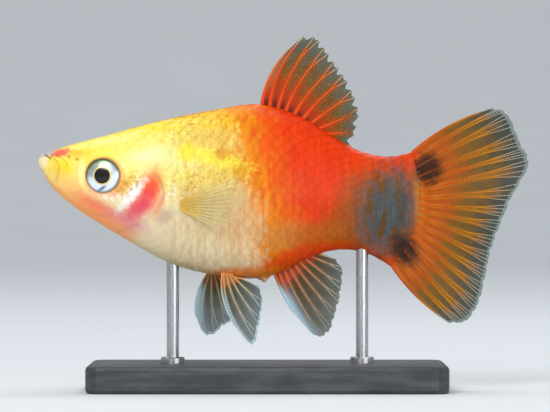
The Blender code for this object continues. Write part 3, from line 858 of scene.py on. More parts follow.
        bright = n.largest(*(n.product(patch.mask(*place), patch.strength) for patch in self.glint_places))
        sparkle = n.product(self.glints.mask(*place, x, z), bright)
        colour = n.mix(sparkle, colour, self.glints.colour)
        bars = n.mix(n.step(n.noise(position, 1.0, 3.0, 0.6, (1.9, 0.7, 0.35)), 0.36, 0.64),
                     srgb(224, 204, 184), (1.0, 1.0, 1.0))
        colour = n.shade(n.product(n.step(x, 13.0, 16.0), 0.5), colour, bars)
        return effect.put(Color=colour, Shine=n.largest(self.streak.mask(*place), sparkle), Spot=spots)

    def ground(self, n: Nodes, position: Socket, x: Socket, z: Socket, depth: Socket) -> Socket:
        """Paint the yellow front, the orange rear and the ragged border between them, with painted shade
        along the bottom of the belly.

        Args:
            n: The group's nodes.
            position: The place on the fish.
            x: Its distance behind the jaw's tip.
            z: Its height.
            depth: Its share of the way from back to belly.

        Returns:
            The colour.
        """
        clouds = n.noise(position, 0.35)
        wander = n.sum(n.about(n.noise(position, 0.95, 3.0, 0.55, (1.0, 0.6, 0.28)), 4.4),
                       n.about(clouds, 2.0),
                       n.about(n.noise(position, 1.9, 3.0, 0.6, (1.0, 0.6, 0.6)), 5.0))
        colour = n.mix(n.step(x, 14.5, 20.0), self.straw, self.tan)
        colour = n.mix(n.step(z, 2.4, -2.6), colour, self.cream)
        colour = n.mix(n.step(n.sum(depth, n.about(clouds, 0.2)), 0.20, 0.05), colour, self.lemon)
        colour = n.mix(n.step(depth, n.span(x, 14.0, 24.0, 0.060, 0.16), 0.012), colour, self.gold)
        # Painted shade along the bottom of the belly.
        colour = n.mix(n.product(n.step(depth, 0.84, 0.99), 0.8), colour, self.belly_painted_shade)
        past = n.sum(n.math("SUBTRACT", x, n.span(z, *self.border_z, *self.border_x)), wander)
        for low, high, strength, later in self.border:
            colour = n.mix(n.product(n.step(past, low, high), strength), colour, later)
        colour = n.mix(n.step(n.sum(x, wander), 33.0, 37.5), colour, self.coral)
        slope = n.math("SUBTRACT", n.sum(x, n.product(wander, 0.7)), n.product(z, 0.62))
        rear = n.product(n.step(slope, 31.5, 36.5), n.step(z, 3.8, 1.2), n.step(depth, 0.98, 0.84), 0.85)
        return n.mix(rear, colour, self.rust)


@dataclass(frozen=True)
class Finish:
    """A procedural material. Its paint method works out what goes into the shader.

    Attributes:
        name: Name of the material.
    """

    name: str

    def material(self, effects: Effects) -> bpy.types.Material:
        """Build the material.

        Args:
            effects: The shared effects.

        Returns:
            The material.
        """
        material = bpy.data.materials.new(self.name)
        material.use_nodes = True
        n = Nodes(material.node_tree)
        shader = material.node_tree.nodes["Principled BSDF"]
        for name, value in self.paint(n, effects, n.add("TexCoord", {})["Object"]).items():
            n.feed(shader.inputs[name], value)
        return material

    def paint(self, n: Nodes, effects: Effects, place: Socket) -> dict[str, object]:
        """Work out the shader's inputs.

        Args:
            n: The material's nodes.
            effects: The shared effects.
            place: The object's own coordinates.

        Returns:
            The inputs by name, as sockets or plain values.
        """
        raise NotImplementedError


@dataclass(frozen=True)
class SkinFinish(Finish):
    """The fish's skin: its markings under a thin, wet-looking gloss, with painted shade in its creases."""

    name: str = "platy_skin"
    bump: float = 0.25
    # Tint of the painted shade in the creases.
    crease_shade_tint: Colour = srgb(150, 92, 70)

    def paint(self, n: Nodes, effects: Effects, place: Socket) -> dict[str, object]:
        """Lay the markings over the skin, with painted shade in its creases. Takes and returns what
        Finish.paint does.
        """
        marks = n.group(effects.markings, Object=place, Depth=n.unwrap("Body")[1])
        space = n.group(effects.space, Object=place)
        colour = self.lined(n, marks["Color"], space["X"])
        fine = n.mix(n.noise(space["Position"], 5.0, 3.0), (0.55, 0.55, 0.55), (1.0, 1.0, 1.0))
        return {
            "Base Color": n.shade(0.10, colour, fine),
            "Roughness": n.span(marks["Shine"], 0.0, 1.0, 0.42, 0.22),
            "Metallic": n.product(marks["Shine"], 0.25),
            "Specular IOR Level": 0.15, "Coat Weight": 0.07, "Coat Roughness": 0.22,
            "Subsurface Weight": 0.06, "Subsurface Radius": (1.0, 0.35, 0.15), "Subsurface Scale": 0.8 * MM,
            "Normal": n.bump(n.noise(space["Position"], 2.2, 4.0), self.bump, 0.05),
        }

    def lined(self, n: Nodes, colour: Socket, x: Socket) -> Socket:
        """Paint shade into the creases.

        Args:
            n: The material's nodes.
            colour: The colour so far.
            x: The distance behind the jaw's tip. Not used here.

        Returns:
            The darkened colour.
        """
        # How strong the painted shade of the creases is at each point.
        painted_shade = n.add("Attribute", {}, attribute_name="crease")["Fac"]
        return n.shade(painted_shade, colour, self.crease_shade_tint)


@dataclass(frozen=True)
class ScaleFinish(SkinFinish):
    """The scales: the skin's finish with painted shade along the rim of each scale."""

    name: str = "platy_scales"
    bump: float = 0.2
    # Strength of the painted shade along each scale's rim.
    rim: float = 0.35
    rim_shade_tint: Colour = srgb(225, 196, 170)

    def lined(self, n: Nodes, colour: Socket, x: Socket) -> Socket:
        """Paint shade along the scales' rims, more towards the tail. Takes and returns what SkinFinish.lined
        does.
        """
        # Painted shade along each scale's rear edge, deepening the shadow lines where the scales overlap.
        edge = n.step(n.unwrap("Scale")[0], 0.72, 0.98)
        strength = n.span(x, 14.0, 30.0, self.rim * 0.4, self.rim)
        return n.shade(n.product(edge, strength), colour, self.rim_shade_tint)


@dataclass(frozen=True)
class FinColours:
    """The colours of one fin.

    Attributes:
        web: The web's colours at the root, half way out and at the edge.
        ray: The rays' colours at the same places.
        reach: Share of the fin where the root's colour ends.
        clear: How much of the background shows through the web at the edge.
        root_clear: How much shows through it at the root.
        band: How much the web beside a ray takes the ray's colour.
        edge: How strongly the fin's edge is drawn in the tips' colour.
        shadow: How dark the web is between the roots of the rays.
        lead: Colour of the leading edge, if it has its own.
        lead_strength: How strongly the leading edge takes it.
        lead_width: Share across the fin that it fades out over.
        blend: Share of the way out over which the web takes the body's own colour.
        gilt: How strongly the web is speckled with gold.
    """

    web: tuple[Colour, Colour, Colour]
    ray: tuple[Colour, Colour, Colour]
    reach: float
    clear: float
    root_clear: float
    band: float
    edge: float
    shadow: float = 0.0
    lead: Optional[Colour] = None
    lead_strength: float = 0.85
    lead_width: float = 0.10
    blend: float = 0.05
    gilt: float = 0.0

    def graded(self, n: Nodes, along: Socket, stops: tuple[Colour, ...], ends: Triple) -> Socket:
        """Run three colours out along the fin.

        Args:
            n: The material's nodes.
            along: The share of the way out.
            stops: The colours at the root, half way out and at the edge.
            ends: Where the first change starts and ends and the second starts, as shares of the reach.

        Returns:
            The colour.
        """
        first, second, third = (self.reach * end for end in ends)
        colour = n.mix(n.step(along, first, second), stops[0], stops[1])
        return n.mix(n.step(along, third, 0.98), colour, stops[2])

    def leading(self, n: Nodes, colour: Socket, across: Socket, share: Socket) -> Socket:
        """Tint the fin's leading edge, if it has a colour of its own.

        Args:
            n: The material's nodes.
            colour: The colour so far.
            across: The share across the fin, from its front.
            share: The share of the way out.

        Returns:
            The tinted colour.
        """
        if self.lead is None:
            return colour
        front = n.product(n.step(across, self.lead_width, 0.01), n.step(share, 0.15, 0.50),
                          self.lead_strength)
        return n.mix(front, colour, self.lead)


@dataclass(frozen=True)
class WebFinish(Finish):
    """The thin web of a fin, dense at the root and clear towards the edge."""

    colours: FinColours
    rays: int
    threads: float = 5.0
    beads: float = 26.0
    dust: Colour = srgb(58, 54, 40)
    gold: Colour = srgb(176, 136, 30)
    hollow: Colour = srgb(84, 10, 4)
    ink: Colour = srgb(44, 26, 16)

    def paint(self, n: Nodes, effects: Effects, place: Socket) -> dict[str, object]:
        """Colour the web, with fine threads beside its rays. Takes and returns what Finish.paint does."""
        own, wear = n.unwrap("Fin"), self.colours
        position = n.group(effects.space, Object=place)["Position"]
        marks = n.group(effects.markings, Object=place, Depth=0.5)
        along = n.sum(own[1], n.about(n.noise(position, 0.8, 3.0), 0.42))
        colour = wear.graded(n, along, wear.web, (0.45, 1.15, 1.1))
        dusty = n.product(n.step(n.noise(position, 6.0, 3.0, 0.7), 0.50, 0.64),
                          n.step(along, 0.35, 0.75), 0.45)
        colour = n.mix(dusty, colour, self.dust)
        gilded = n.product(n.step(n.noise(position, 9.0, 3.0, 0.7), 0.52, 0.62), n.step(along, 0.20, 0.45),
                           n.step(along, 1.0, 0.7), wear.gilt)
        colour = n.mix(gilded, colour, self.gold)

        phase = n.product(own[0], 2 * math.pi * (self.rays - 1))
        band = n.wave(phase, -0.35, 0.75)
        shadow = n.product(n.math("SUBTRACT", 1.0, band), n.step(own[1], 0.22, 0.08), wear.shadow)
        colour = n.mix(shadow, colour, self.hollow)
        band = n.product(band, n.step(along, 1.0, 0.60))
        colour = n.mix(n.product(band, wear.band), colour, wear.ray[1])
        threads = n.product(n.wave(n.product(phase, self.threads), 0.0, 0.8),
                            n.wave(n.product(own[1], 2 * math.pi * self.beads), -0.5, 0.5))
        inside = n.product(n.math("SUBTRACT", 1.0, threads), band, n.step(own[1], 0.15, 0.40), wear.band)
        colour = n.shade(inside, colour, srgb(150, 130, 110))

        colour = n.mix(n.product(n.step(own[1], wear.blend, 0.0), 0.9), colour, marks["Color"])
        edge = n.product(n.step(own[1], 0.955, 0.985), wear.edge)
        colour = wear.leading(n, n.mix(edge, colour, wear.ray[2]), own[0], own[1])
        solid = n.span(along, wear.reach * 0.5, 0.98, 1 - wear.root_clear, 1 - wear.clear)
        return {
            "Base Color": n.mix(n.product(marks["Spot"], 0.94), colour, self.ink),
            "Alpha": n.largest(solid, n.product(marks["Spot"], 0.97), n.product(band, 0.5 + wear.band), edge),
            "Roughness": 0.32, "Specular IOR Level": 0.12, "Coat Weight": 0.05, "Coat Roughness": 0.2,
            "Normal": n.bump(n.noise(position, 3.5, 3.0), 0.3, 0.03),
        }


@dataclass(frozen=True)
class RayFinish(Finish):
    """The bony rays of a fin, beaded by their joints."""

    colours: FinColours
    joint_tint: Colour = srgb(150, 100, 70)
    ink: Colour = srgb(60, 34, 20)

    def paint(self, n: Nodes, effects: Effects, place: Socket) -> dict[str, object]:
        """Colour the rays, darker at their joints. Takes and returns what Finish.paint does."""
        own, wear = n.unwrap("Fin"), self.colours
        position = n.group(effects.space, Object=place)["Position"]
        marks = n.group(effects.markings, Object=place, Depth=0.5)
        along = n.sum(own[1], n.about(n.noise(position, 1.2), 0.16))
        colour = wear.leading(n, wear.graded(n, along, wear.ray, (0.5, 1.5, 1.35)), own[0], own[1])
        joints = n.group(effects.joints, Distance=n.unwrap("Ray")[0], Pitch=RAY_JOINTS, Start=1.2)[0]
        colour = n.shade(n.product(joints, 0.62), colour, self.joint_tint)
        return {
            "Base Color": n.mix(n.product(marks["Spot"], 0.75), colour, self.ink),
            "Roughness": 0.3, "Specular IOR Level": 0.15, "Coat Weight": 0.04, "Coat Roughness": 0.2,
            "Normal": n.bump(n.math("SUBTRACT", 1.0, joints), 0.4, 0.04),
        }


@dataclass(frozen=True)
class EyeFinish(Finish):
    """A fish eye: black pupil, gold ring, silver iris, under a clear gloss.

    Attributes:
        pupil: Radius of the pupil, as a share of the eye's.
        ring: Outer radius of the ring round it.
        reflection: The blue patch low in the iris.
    """

    name: str = "platy_eye"
    pupil: float = 0.445
    ring: float = 0.510
    silver: Colour = srgb(236, 244, 250)
    grey: Colour = srgb(164, 180, 172)
    green: Colour = srgb(112, 138, 84)
    dark_rim: Colour = srgb(60, 66, 66)
    gold: Colour = srgb(236, 214, 140)
    black: Colour = srgb(6, 7, 10)
    lid: Colour = srgb(232, 170, 110)
    reflection: Patch = Patch(7.14, 0.73, 0.55, 0.20, -35, srgb(52, 92, 140), 0.8, 0.5, 0.5)

    def paint(self, n: Nodes, effects: Effects, place: Socket) -> dict[str, object]:
        """Draw the iris, ring and pupil. Takes and returns what Finish.paint does."""
        space, radius = n.group(effects.space, Object=place), n.unwrap("Eye")[1]
        position = space["Position"]
        streaks = n.noise(position, 2.4, 4.0, 0.6, (1.0, 0.2, 1.0))
        height = n.math("DIVIDE", n.math("SUBTRACT", space["Z"], EyeBall.z), EyeBall.radius)
        tone = n.sum(height, n.about(streaks, 0.9),
                     n.span(space["X"], EyeBall.x - EyeBall.radius, EyeBall.x + EyeBall.radius, 0.15, -0.30))
        iris = n.mix(n.step(tone, -0.30, 0.30), self.silver, self.grey)
        iris = self.reflection.over(n, effects, position, n.mix(n.step(tone, 0.26, 0.85), iris, self.green))
        iris = n.mix(n.product(n.step(radius, 0.80, 0.93), 0.75), iris, self.dark_rim)
        colour = n.mix(n.step(radius, self.ring - 0.01, self.ring + 0.04), self.gold, iris)
        colour = n.mix(n.step(radius, self.pupil - 0.012, self.pupil + 0.012), self.black, colour)
        return {
            "Base Color": n.mix(n.step(radius, 0.945, 0.985), colour, self.lid),
            "Metallic": n.product(n.step(radius, self.pupil, self.ring), n.step(radius, 0.96, 0.92), 0.55),
            "Roughness": 0.30, "Specular IOR Level": 0.2, "Coat Weight": 0.5, "Coat Roughness": 0.05,
            "Normal": n.bump(streaks, 0.25, 0.04),
        }


@dataclass(frozen=True)
class SlateFinish(Finish):
    """Honed dark slate with a faint grain and paler veins."""

    name: str = "honed_slate"
    dark: Colour = srgb(44, 47, 52)
    pale: Colour = srgb(70, 74, 80)
    flecks: Colour = srgb(120, 124, 130)

    def paint(self, n: Nodes, effects: Effects, place: Socket) -> dict[str, object]:
        """Layer the slate. Takes and returns what Finish.paint does."""
        position = n.group(effects.space, Object=place)["Position"]
        layers = n.noise(position, 0.35, 6.0, 0.6, (0.5, 1.0, 3.0))
        grit = n.noise(position, 6.0, 4.0, 0.7)
        colour = n.mix(n.step(layers, 0.35, 0.7), self.dark, self.pale)
        return {
            "Base Color": n.mix(n.product(n.step(grit, 0.6, 0.8), 0.3), colour, self.flecks),
            "Roughness": n.span(grit, 0.3, 0.7, 0.38, 0.55),
            "Normal": n.bump(n.sum(n.product(layers, 0.6), n.product(grit, 0.4)), 0.35, 0.08),
        }


@dataclass(frozen=True)
class SteelFinish(Finish):
    """Drawn steel with fine lines along the rod."""

    name: str = "drawn_steel"
    dark: Colour = srgb(160, 162, 166)
    pale: Colour = srgb(205, 207, 210)

    def paint(self, n: Nodes, effects: Effects, place: Socket) -> dict[str, object]:
        """Draw the steel's lines. Takes and returns what Finish.paint does."""
        position = n.group(effects.space, Object=place)["Position"]
        lines = n.noise(position, 1.5, 3.0, stretch=(9.0, 9.0, 0.5))
        return {
            "Base Color": n.mix(lines, self.dark, self.pale), "Metallic": 1.0,
            "Roughness": n.span(lines, 0.3, 0.7, 0.18, 0.32), "Normal": n.bump(lines, 0.15, 0.02),
        }


@dataclass(frozen=True)
class SweepFinish(Finish):
    """The studio's pale, matt sweep."""

    name: str = "pale_sweep"
    dark: Colour = srgb(204, 209, 213)
    pale: Colour = srgb(209, 214, 218)

    def paint(self, n: Nodes, effects: Effects, place: Socket) -> dict[str, object]:
        """Cloud the sweep faintly. Takes and returns what Finish.paint does."""
        return {"Base Color": n.mix(n.noise(place, 30.0), self.dark, self.pale), "Roughness": 0.9}


@dataclass
class EyeBall:
    """One eye, domed a little over the flank of the head."""

    side: int
    x: float = 7.29
    z: float = 2.18
    radius: float = 2.0
    turn: float = math.radians(9.0)
    rim_y: float = 2.72
    dome: float = 0.58
    dome_reach: float = 0.985
    dome_power: float = 0.95
    pupil_lift: float = 0.05
    pupil_edge: tuple[float, float] = (0.50, 0.40)
    back_depth: float = 0.9
    rings: int = 40
    back_rings: int = 8
    spokes: int = 72

    def build(self, material: bpy.types.Material) -> None:
        """Make the eye.

        Args:
            material: Its finish.
        """
        spin = np.linspace(0, 2 * math.pi, self.spokes, endpoint=False)
        shares = np.sin(np.linspace(0, 1, self.rings) * math.pi / 2)[1:]
        domed = self.dome * np.sqrt(1 - (shares * self.dome_reach) ** 2) ** self.dome_power
        domed = domed + self.pupil_lift * smooth_step(shares, *self.pupil_edge)
        behind = np.cos(np.linspace(0, 1, self.back_rings + 2)[1:-1] * math.pi / 2)
        radii = np.concatenate([shares, behind])
        heights = np.concatenate([domed, -self.back_depth * np.sqrt(1 - behind**2)])
        reach = np.concatenate([shares, np.ones(len(behind))])
        x, z = (self.radius * np.outer(radii, share) for share in (np.cos(spin), np.sin(spin)))
        y = np.repeat(heights[:, None], self.spokes, axis=1)
        grid = np.vstack([np.stack([x, y, z], axis=-1).reshape(-1, 3),
                          [0, self.dome + self.pupil_lift, 0], [0, -self.back_depth, 0]])
        flat = np.stack(np.meshgrid(spin / (2 * math.pi), reach), axis=-1).reshape(-1, 2)
        x, y, z = grid.T
        cos, sin = math.cos(self.turn), math.sin(self.turn)
        turned = np.stack([x * cos - y * sin, self.side * (x * sin + y * cos), z], axis=1)
        placed = turned + (self.x, self.side * self.rim_y, self.z)
        faces = Piece.pod_faces(len(radii), self.spokes)
        name = f"eye_{hand(self.side)}"
        obj = Piece.build(f"{name}_dome", placed, faces, {"Eye": np.vstack([flat, [0, 0], [0, 1]])})
        Piece.dress(obj, material, "eye", name)


@dataclass(frozen=True)
class Fold:
    """A groove in the skin with a low ridge along each side and painted shade along the groove.

    Attributes:
        line: The points that it runs through.
        ridge: Height of the ridges.
        ridge_width: Their half width.
        groove: Depth of the groove.
        groove_width: Its half width.
        painted_shade: How dark the painted shade along the groove is.
        shade_width: Half width of that painted shade.
        ridge_offset: How far each ridge lies from the groove.
    """

    line: Line
    ridge: float
    ridge_width: float
    groove: float
    groove_width: float
    painted_shade: float
    shade_width: float
    ridge_offset: float = 0.22

    def relief(self, x: np.ndarray, z: np.ndarray) -> np.ndarray:
        """Work out how far the fold stands out of the skin.

        Args:
            x: Where the places are along the fish.
            z: Their heights in the side view.

        Returns:
            The heights, outwards.
        """
        away = np.abs(distance_to(self.line, x, z))
        ridges = self.ridge * bell(away, self.ridge_width, self.ridge_offset)
        return ridges - self.groove * bell(away, self.groove_width)

    def shade(self, x: np.ndarray, z: np.ndarray) -> np.ndarray:
        """Return how dark the fold's painted shade is at places in the side view."""
        return self.painted_shade * bell(distance_to(self.line, x, z), self.shade_width)


@dataclass
class Skin:
    """One continuous skin over the head, trunk and tail stalk."""

    rings: int = 430
    half_sides: int = 114
    crowding: float = 1.45
    end_x: float = 43.0
    end_start: float = 34.0
    end_overlap: float = 0.25
    end_taper: float = 3.6
    end_thin: float = 0.88
    socket_y: float = 2.2
    socket_edge: tuple[float, float] = (1.015, 0.93)
    gill_rise: float = 0.14
    gill_groove: float = 0.05
    gill_groove_width: float = 0.18
    gill_roll_at: float = -0.30
    gill_slope: tuple[float, float] = (-4.2, -0.5)
    gill_drop: float = 0.22
    gill_top: tuple[float, float] = (3.4, 2.0)
    gill_bottom: tuple[float, float] = (-5.2, -3.4)
    gill_low: tuple[float, float] = (-2.6, -0.8)
    gill_low_share: float = 0.35
    # Painted shade along the gill cover's edge.
    gill_shade: float = 0.30
    gill_shade_bottom: tuple[float, float] = (-3.2, -0.6)
    cheek_rise: float = 0.03
    nostril_flatness: float = 1.25
    nostril_rim: float = 0.05
    nostril_pit: float = 0.22
    # Painted shade in the nostrils' pits.
    nostril_shade: float = 0.65
    eye_rim: float = 0.06
    eye_groove: float = 0.02
    gill_edge: Line = (
        (12.6, 4.4), (12.8, 2.6), (13.7, 1.4), (13.97, 0.5), (13.85, -0.65), (13.3, -1.7), (12.5, -2.6),
        (11.0, -3.3), (9.9, -3.8), (8.8, -4.4), (7.8, -5.0))
    gill_steps: int = 60
    cheek_edge: Line = ((9.9, 2.4), (10.2, 1.0), (9.9, -0.6), (9.0, -1.9), (7.2, -2.4), (5.4, -1.6))
    folds: tuple[Fold, ...] = (
        Fold(((0.30, 4.78), (0.67, 4.54), (1.0, 4.32), (1.38, 4.08)), 0.11, 0.13, 0.30, 0.075, 0.55, 0.085),
        Fold(((1.40, 4.45), (1.85, 3.95), (2.24, 3.4), (2.25, 2.7), (2.05, 1.7)),
             0.04, 0.15, 0.05, 0.10, 0.26, 0.18),
        Fold(((1.7, 4.55), (2.3, 4.25), (3.0, 3.75), (3.3, 3.1)), 0.02, 0.15, 0.03, 0.12, 0.20, 0.12),
        Fold(((4.55, 3.4), (4.35, 2.4), (4.45, 1.3), (4.9, 0.4)), 0.02, 0.15, 0.03, 0.12, 0.14, 0.12),
    )
    nostrils: Line = ((3.43, 4.30), (4.38, 4.02))
    papilla_x: float = 25.2
    papilla_rise: float = 0.62

    def to_nostrils(self, x: np.ndarray, z: np.ndarray) -> list[np.ndarray]:
        """Return how far places in the side view lie from each nostril, which is a little wider than high."""
        flat = self.nostril_flatness
        return [np.hypot(x - place_x, (z - place_z) * flat) for place_x, place_z in self.nostrils]

    def relief(self, points: np.ndarray) -> np.ndarray:
        """Work out how far the skin stands out of the plain body.

        Args:
            points: Points of the plain body surface.

        Returns:
            The heights, outwards.
        """
        x, z = points[..., 0], points[..., 2]
        height = sum(fold.relief(x, z) for fold in self.folds)

        gill = distance_to(self.gill_edge, x, z, self.gill_steps)
        live = smooth_step(z, *self.gill_top) * smooth_step(z, *self.gill_bottom) * (x > 6.0) * (x < 18.0)
        low = self.gill_low_share
        live = live * (low + (1 - low) * smooth_step(z, *self.gill_low))
        cover = self.gill_rise * smooth_step(gill, *self.gill_slope)
        cover = cover * (1 - smooth_step(gill, -self.gill_drop, 0.0))
        width = self.gill_groove_width
        roll = self.gill_groove * bell(gill, width, self.gill_roll_at)
        height += live * (cover - self.gill_groove * bell(gill, width, width) + roll)
        cheek = distance_to(self.cheek_edge, x, z, 40)
        on_cheek = (x > 4.5) * (x < 12.0) * smooth_step(z, 3.4, 2.2)
        height += on_cheek * self.cheek_rise * (bell(cheek, 0.3, -0.25) - bell(cheek, 0.18, 0.12))

        for away in self.to_nostrils(x, z):
            height += self.nostril_rim * bell(away, 0.08, 0.24) - self.nostril_pit * bell(away, 0.13)
        from_papilla = np.hypot(x - self.papilla_x, points[..., 1] - SHAPE.swing(x))
        height += (z < -7.0) * self.papilla_rise * bell(from_papilla, 0.5)
        from_eye = np.hypot(x - EyeBall.x, z - EyeBall.z) / EyeBall.radius
        height += self.eye_rim * bell(from_eye, 0.04, 1.06)
        return height - self.eye_groove * bell(from_eye, 0.06, 1.20)

    def creases(self, points: np.ndarray) -> np.ndarray:
        """Paint shade into the lines and pits of the head, which are darker than the skin round them.

        Args:
            points: Points of the skin.

        Returns:
            How dark each point is, from 0 to 1.
        """
        x, z = points[..., 0], points[..., 2]
        gill = distance_to(self.gill_edge, x, z, self.gill_steps)
        edge = smooth_step(z, *self.gill_top) * smooth_step(z, *self.gill_shade_bottom)
        edge = edge * (x > 8.0) * (x < 16.0)
        marks = [self.gill_shade * edge * bell(gill, 0.16, 0.12), *(fold.shade(x, z) for fold in self.folds)]
        marks += [self.nostril_shade * bell(away, 0.15) for away in self.to_nostrils(x, z)]
        return np.max(marks, axis=0)

    def surface(
        self, x: np.ndarray, share: np.ndarray, moved: np.ndarray
    ) -> tuple[np.ndarray, np.ndarray]:
        """Find points and normals of the body on both flanks, thinned where the tail fin starts.

        Args:
            x: Distances behind the jaw's tip where the share is measured.
            share: Shares round the flank, 0 at the back and 1 at the belly, negative on the fish's left.
            moved: Distances where the points lie.

        Returns:
            The points and their outward normals.
        """
        step = 0.01
        angle = SHAPE.angle(x, np.abs(share)) * np.where(share < 0, -1, 1)
        points = SHAPE.point(moved, angle)
        ahead = SHAPE.point(moved + step, angle) - SHAPE.point(np.maximum(moved - step, 0), angle)
        normals = np.cross(ahead, SHAPE.point(moved, angle + step) - SHAPE.point(moved, angle - step))
        normals /= np.maximum(np.linalg.norm(normals, axis=-1, keepdims=True), 1e-9)
        left = SHAPE.tail_end(points[..., 2]) + self.end_overlap - points[..., 0]
        thin = 1 - self.end_thin * (1 - smooth_step(left, 0.0, self.end_taper))
        middle = SHAPE.swing(points[..., 0])
        points[..., 1] = middle + (points[..., 1] - middle) * thin
        return points, normals

    def build(self, material: bpy.types.Material) -> None:
        """Make the skin, pressed in behind each eye.

        Args:
            material: Its finish.
        """
        stations = self.end_x * np.linspace(0, 1, self.rings) ** self.crowding
        half = np.linspace(0, 1, self.half_sides + 1)
        plain, share = np.meshgrid(stations, np.concatenate([half, -half[-2:0:-1]]), indexing="ij")
        x, angle = plain, SHAPE.angle(plain, np.abs(share))
        for _ in range(3):
            end = SHAPE.tail_end(SHAPE.point(x, angle)[..., 2]) + self.end_overlap
            x = plain + smooth_step(plain, self.end_start, self.end_x) * (end - self.end_x)
        points, normals = self.surface(plain, share, x)
        points = points + normals * self.relief(points)[..., None]
        from_eye = np.hypot(points[..., 0] - EyeBall.x, points[..., 2] - EyeBall.z) / EyeBall.radius
        y = points[..., 1]
        pressed = np.sign(y) * np.minimum(np.abs(y), self.socket_y)
        points[..., 1] = y + (pressed - y) * smooth_step(from_eye, *self.socket_edge)

        uvs = np.stack([x / SHAPE.length, np.abs(share)], axis=-1)
        grid = np.vstack([points.reshape(-1, 3), points[0].mean(axis=0), points[-1].mean(axis=0)])
        uvs = np.vstack([uvs.reshape(-1, 2), uvs[0, 0], uvs[-1, 0]])
        obj = Piece.build("skin", grid, Piece.pod_faces(*x.shape), {"Body": uvs})
        # The painted shade of the creases goes on as a point attribute.
        marks = obj.data.attributes.new("crease", "FLOAT", "POINT")
        marks.data.foreach_set("value", self.creases(grid).astype(np.float32))
        Piece.dress(obj, material, "orange_skin", "head", "lower_jaw", "trunk", "tail_stalk")


@dataclass
class ScaleCoat:
    """Thin overlapping scales over one flank, laid like roof tiles towards the tail."""

    skin: Skin
    side: int
    pitch: float = 1.30
    rows: int = 14
    first_x: float = 5.2
    last_x: float = 42.6
    cover_x: float = 9.6
    temple: Line = ((5.0, 5.2), (9.0, 4.9), (12.5, 3.0))
    overlap: float = 1.5
    lift: float = 0.056
    sink: float = 0.050
    crown: float = 0.006
    thickness: float = 0.02
    sharp_angle: float = math.radians(35)
    spread: float = 0.76
    roundness: float = 0.78
    steps: int = 7
    seed: int = 21
    size_spread: float = 0.05
    lift_spread: float = 0.004
    past_seam: float = 0.06
    patch: float = 0.0015
    patch_margin: float = 0.02

    def seats(self) -> np.ndarray:
        """List the scales' roots.

        Returns:
            For each scale its distance behind the jaw's tip and its share round the flank.
        """
        places = []
        for column in range(int((self.last_x - self.first_x) / (self.pitch / 2))):
            x = self.first_x + column * self.pitch / 2
            shares = (np.arange(self.rows + 1) + 0.5 * (column % 2)) / self.rows
            places += [(x, share) for share in shares if share <= 1.0 and self.covers(x, share)]
        return np.array(places)

    def covers(self, x: float, share: float) -> bool:
        """Tell whether a scale grows at a place: behind the gill cover, or on the nape.

        Args:
            x: The place's distance behind the jaw's tip.
            share: Its share round the flank.

        Returns:
            True where a scale grows.
        """
        point = SHAPE.point(np.array([x]), SHAPE.angle(np.array([x]), np.array([share])))[0]
        if x + 1.5 * self.pitch > SHAPE.tail_end(point[2]) + 0.1:
            return False
        behind_gill = distance_to(self.skin.gill_edge, point[0], point[2], self.skin.gill_steps) > 0.15
        return point[2] >= np.interp(x, *zip(*self.temple)) or bool(behind_gill and x > self.cover_x)

    def build(self, material: bpy.types.Material) -> None:
        """Make the flank's scales as one mesh.

        Args:
            material: Their finish.
        """
        draw = np.random.default_rng(self.seed + self.side)
        u, v = np.meshgrid(np.linspace(0, 1, self.steps), np.linspace(-1, 1, self.steps), indexing="ij")
        roots = self.seats()
        count, tile = len(roots), self.steps * self.steps
        root_x, root_share = (roots[:, k, None, None] for k in range(2))
        size = 1 + draw.uniform(-self.size_spread, self.size_spread, (count, 1, 1))
        run = u * (1 - self.roundness * v**2)
        x = np.clip(root_x + self.pitch * self.overlap * size * run, 0.2, self.skin.end_x - 0.1)
        share = root_share + v * self.spread / self.rows * size
        share = np.clip(share, -self.past_seam, 1 + self.past_seam)
        own_side = np.where((share < 0) | (share > 1), -self.side, self.side)
        folded = np.abs(np.where(share > 1, 2 - share, share))
        points, normals = self.skin.surface(np.round(x, 1), folded * own_side, x)
        grown = smooth_step(root_x, self.first_x - 1.0, self.first_x + 8.0)
        grown = grown * (1 - 0.5 * smooth_step(root_share, 0.50, 0.80))
        rise = -self.sink + (self.sink + self.lift * grown) * run + self.crown * (1 - v**2) * grown
        rise = rise + draw.uniform(-self.lift_spread, self.lift_spread, (count, 1, 1))
        rise = rise + self.skin.relief(points)
        layers = [(points + normals * (rise - sunk)[..., None]).reshape(count, tile, 3)
                  for sunk in (0.0, self.thickness)]
        grid = np.concatenate(layers, axis=1).reshape(-1, 3)
        slab = Piece.slab_faces(self.steps, self.steps)
        faces = [tuple(k * 2 * tile + p for p in face) for k in range(count) for face in slab]
        own = np.tile(np.stack([u, (v + 1) / 2], axis=-1).reshape(1, tile, 2), (count, 2, 1)).reshape(-1, 2)
        body = np.stack([x / SHAPE.length, np.clip(np.abs(share), 0, 1)], axis=-1).reshape(count, tile, 2)
        down = self.patch_margin + (1 - 2 * self.patch_margin) * np.clip(roots[:, 1], 0, 1)
        seat = np.stack([roots[:, 0] / SHAPE.length, down], axis=1)
        bake = np.repeat(seat, 2 * tile, axis=0) + (own - 0.5) * 2 * self.patch
        obj = Piece.build(f"scales_{hand(self.side)}", grid, faces, {
            "OFBake": bake, "Body": np.concatenate([body, body], axis=1).reshape(-1, 2), "Scale": own})
        obj.data.set_sharp_from_angle(angle=self.sharp_angle)
        Piece.dress(obj, material, "orange_skin")


@dataclass(frozen=True)
class KeyRay:
    """One ray that shapes a fin. The rays between two of these are blended from them.

    Attributes:
        along: Its share of the root line.
        length: Length of the straight line from root to tip.
        angle: That line's angle above the horizontal, in degrees.
        bend: How far the ray turns downwards on the way, in degrees.
    """

    along: float
    length: float
    angle: float
    bend: float


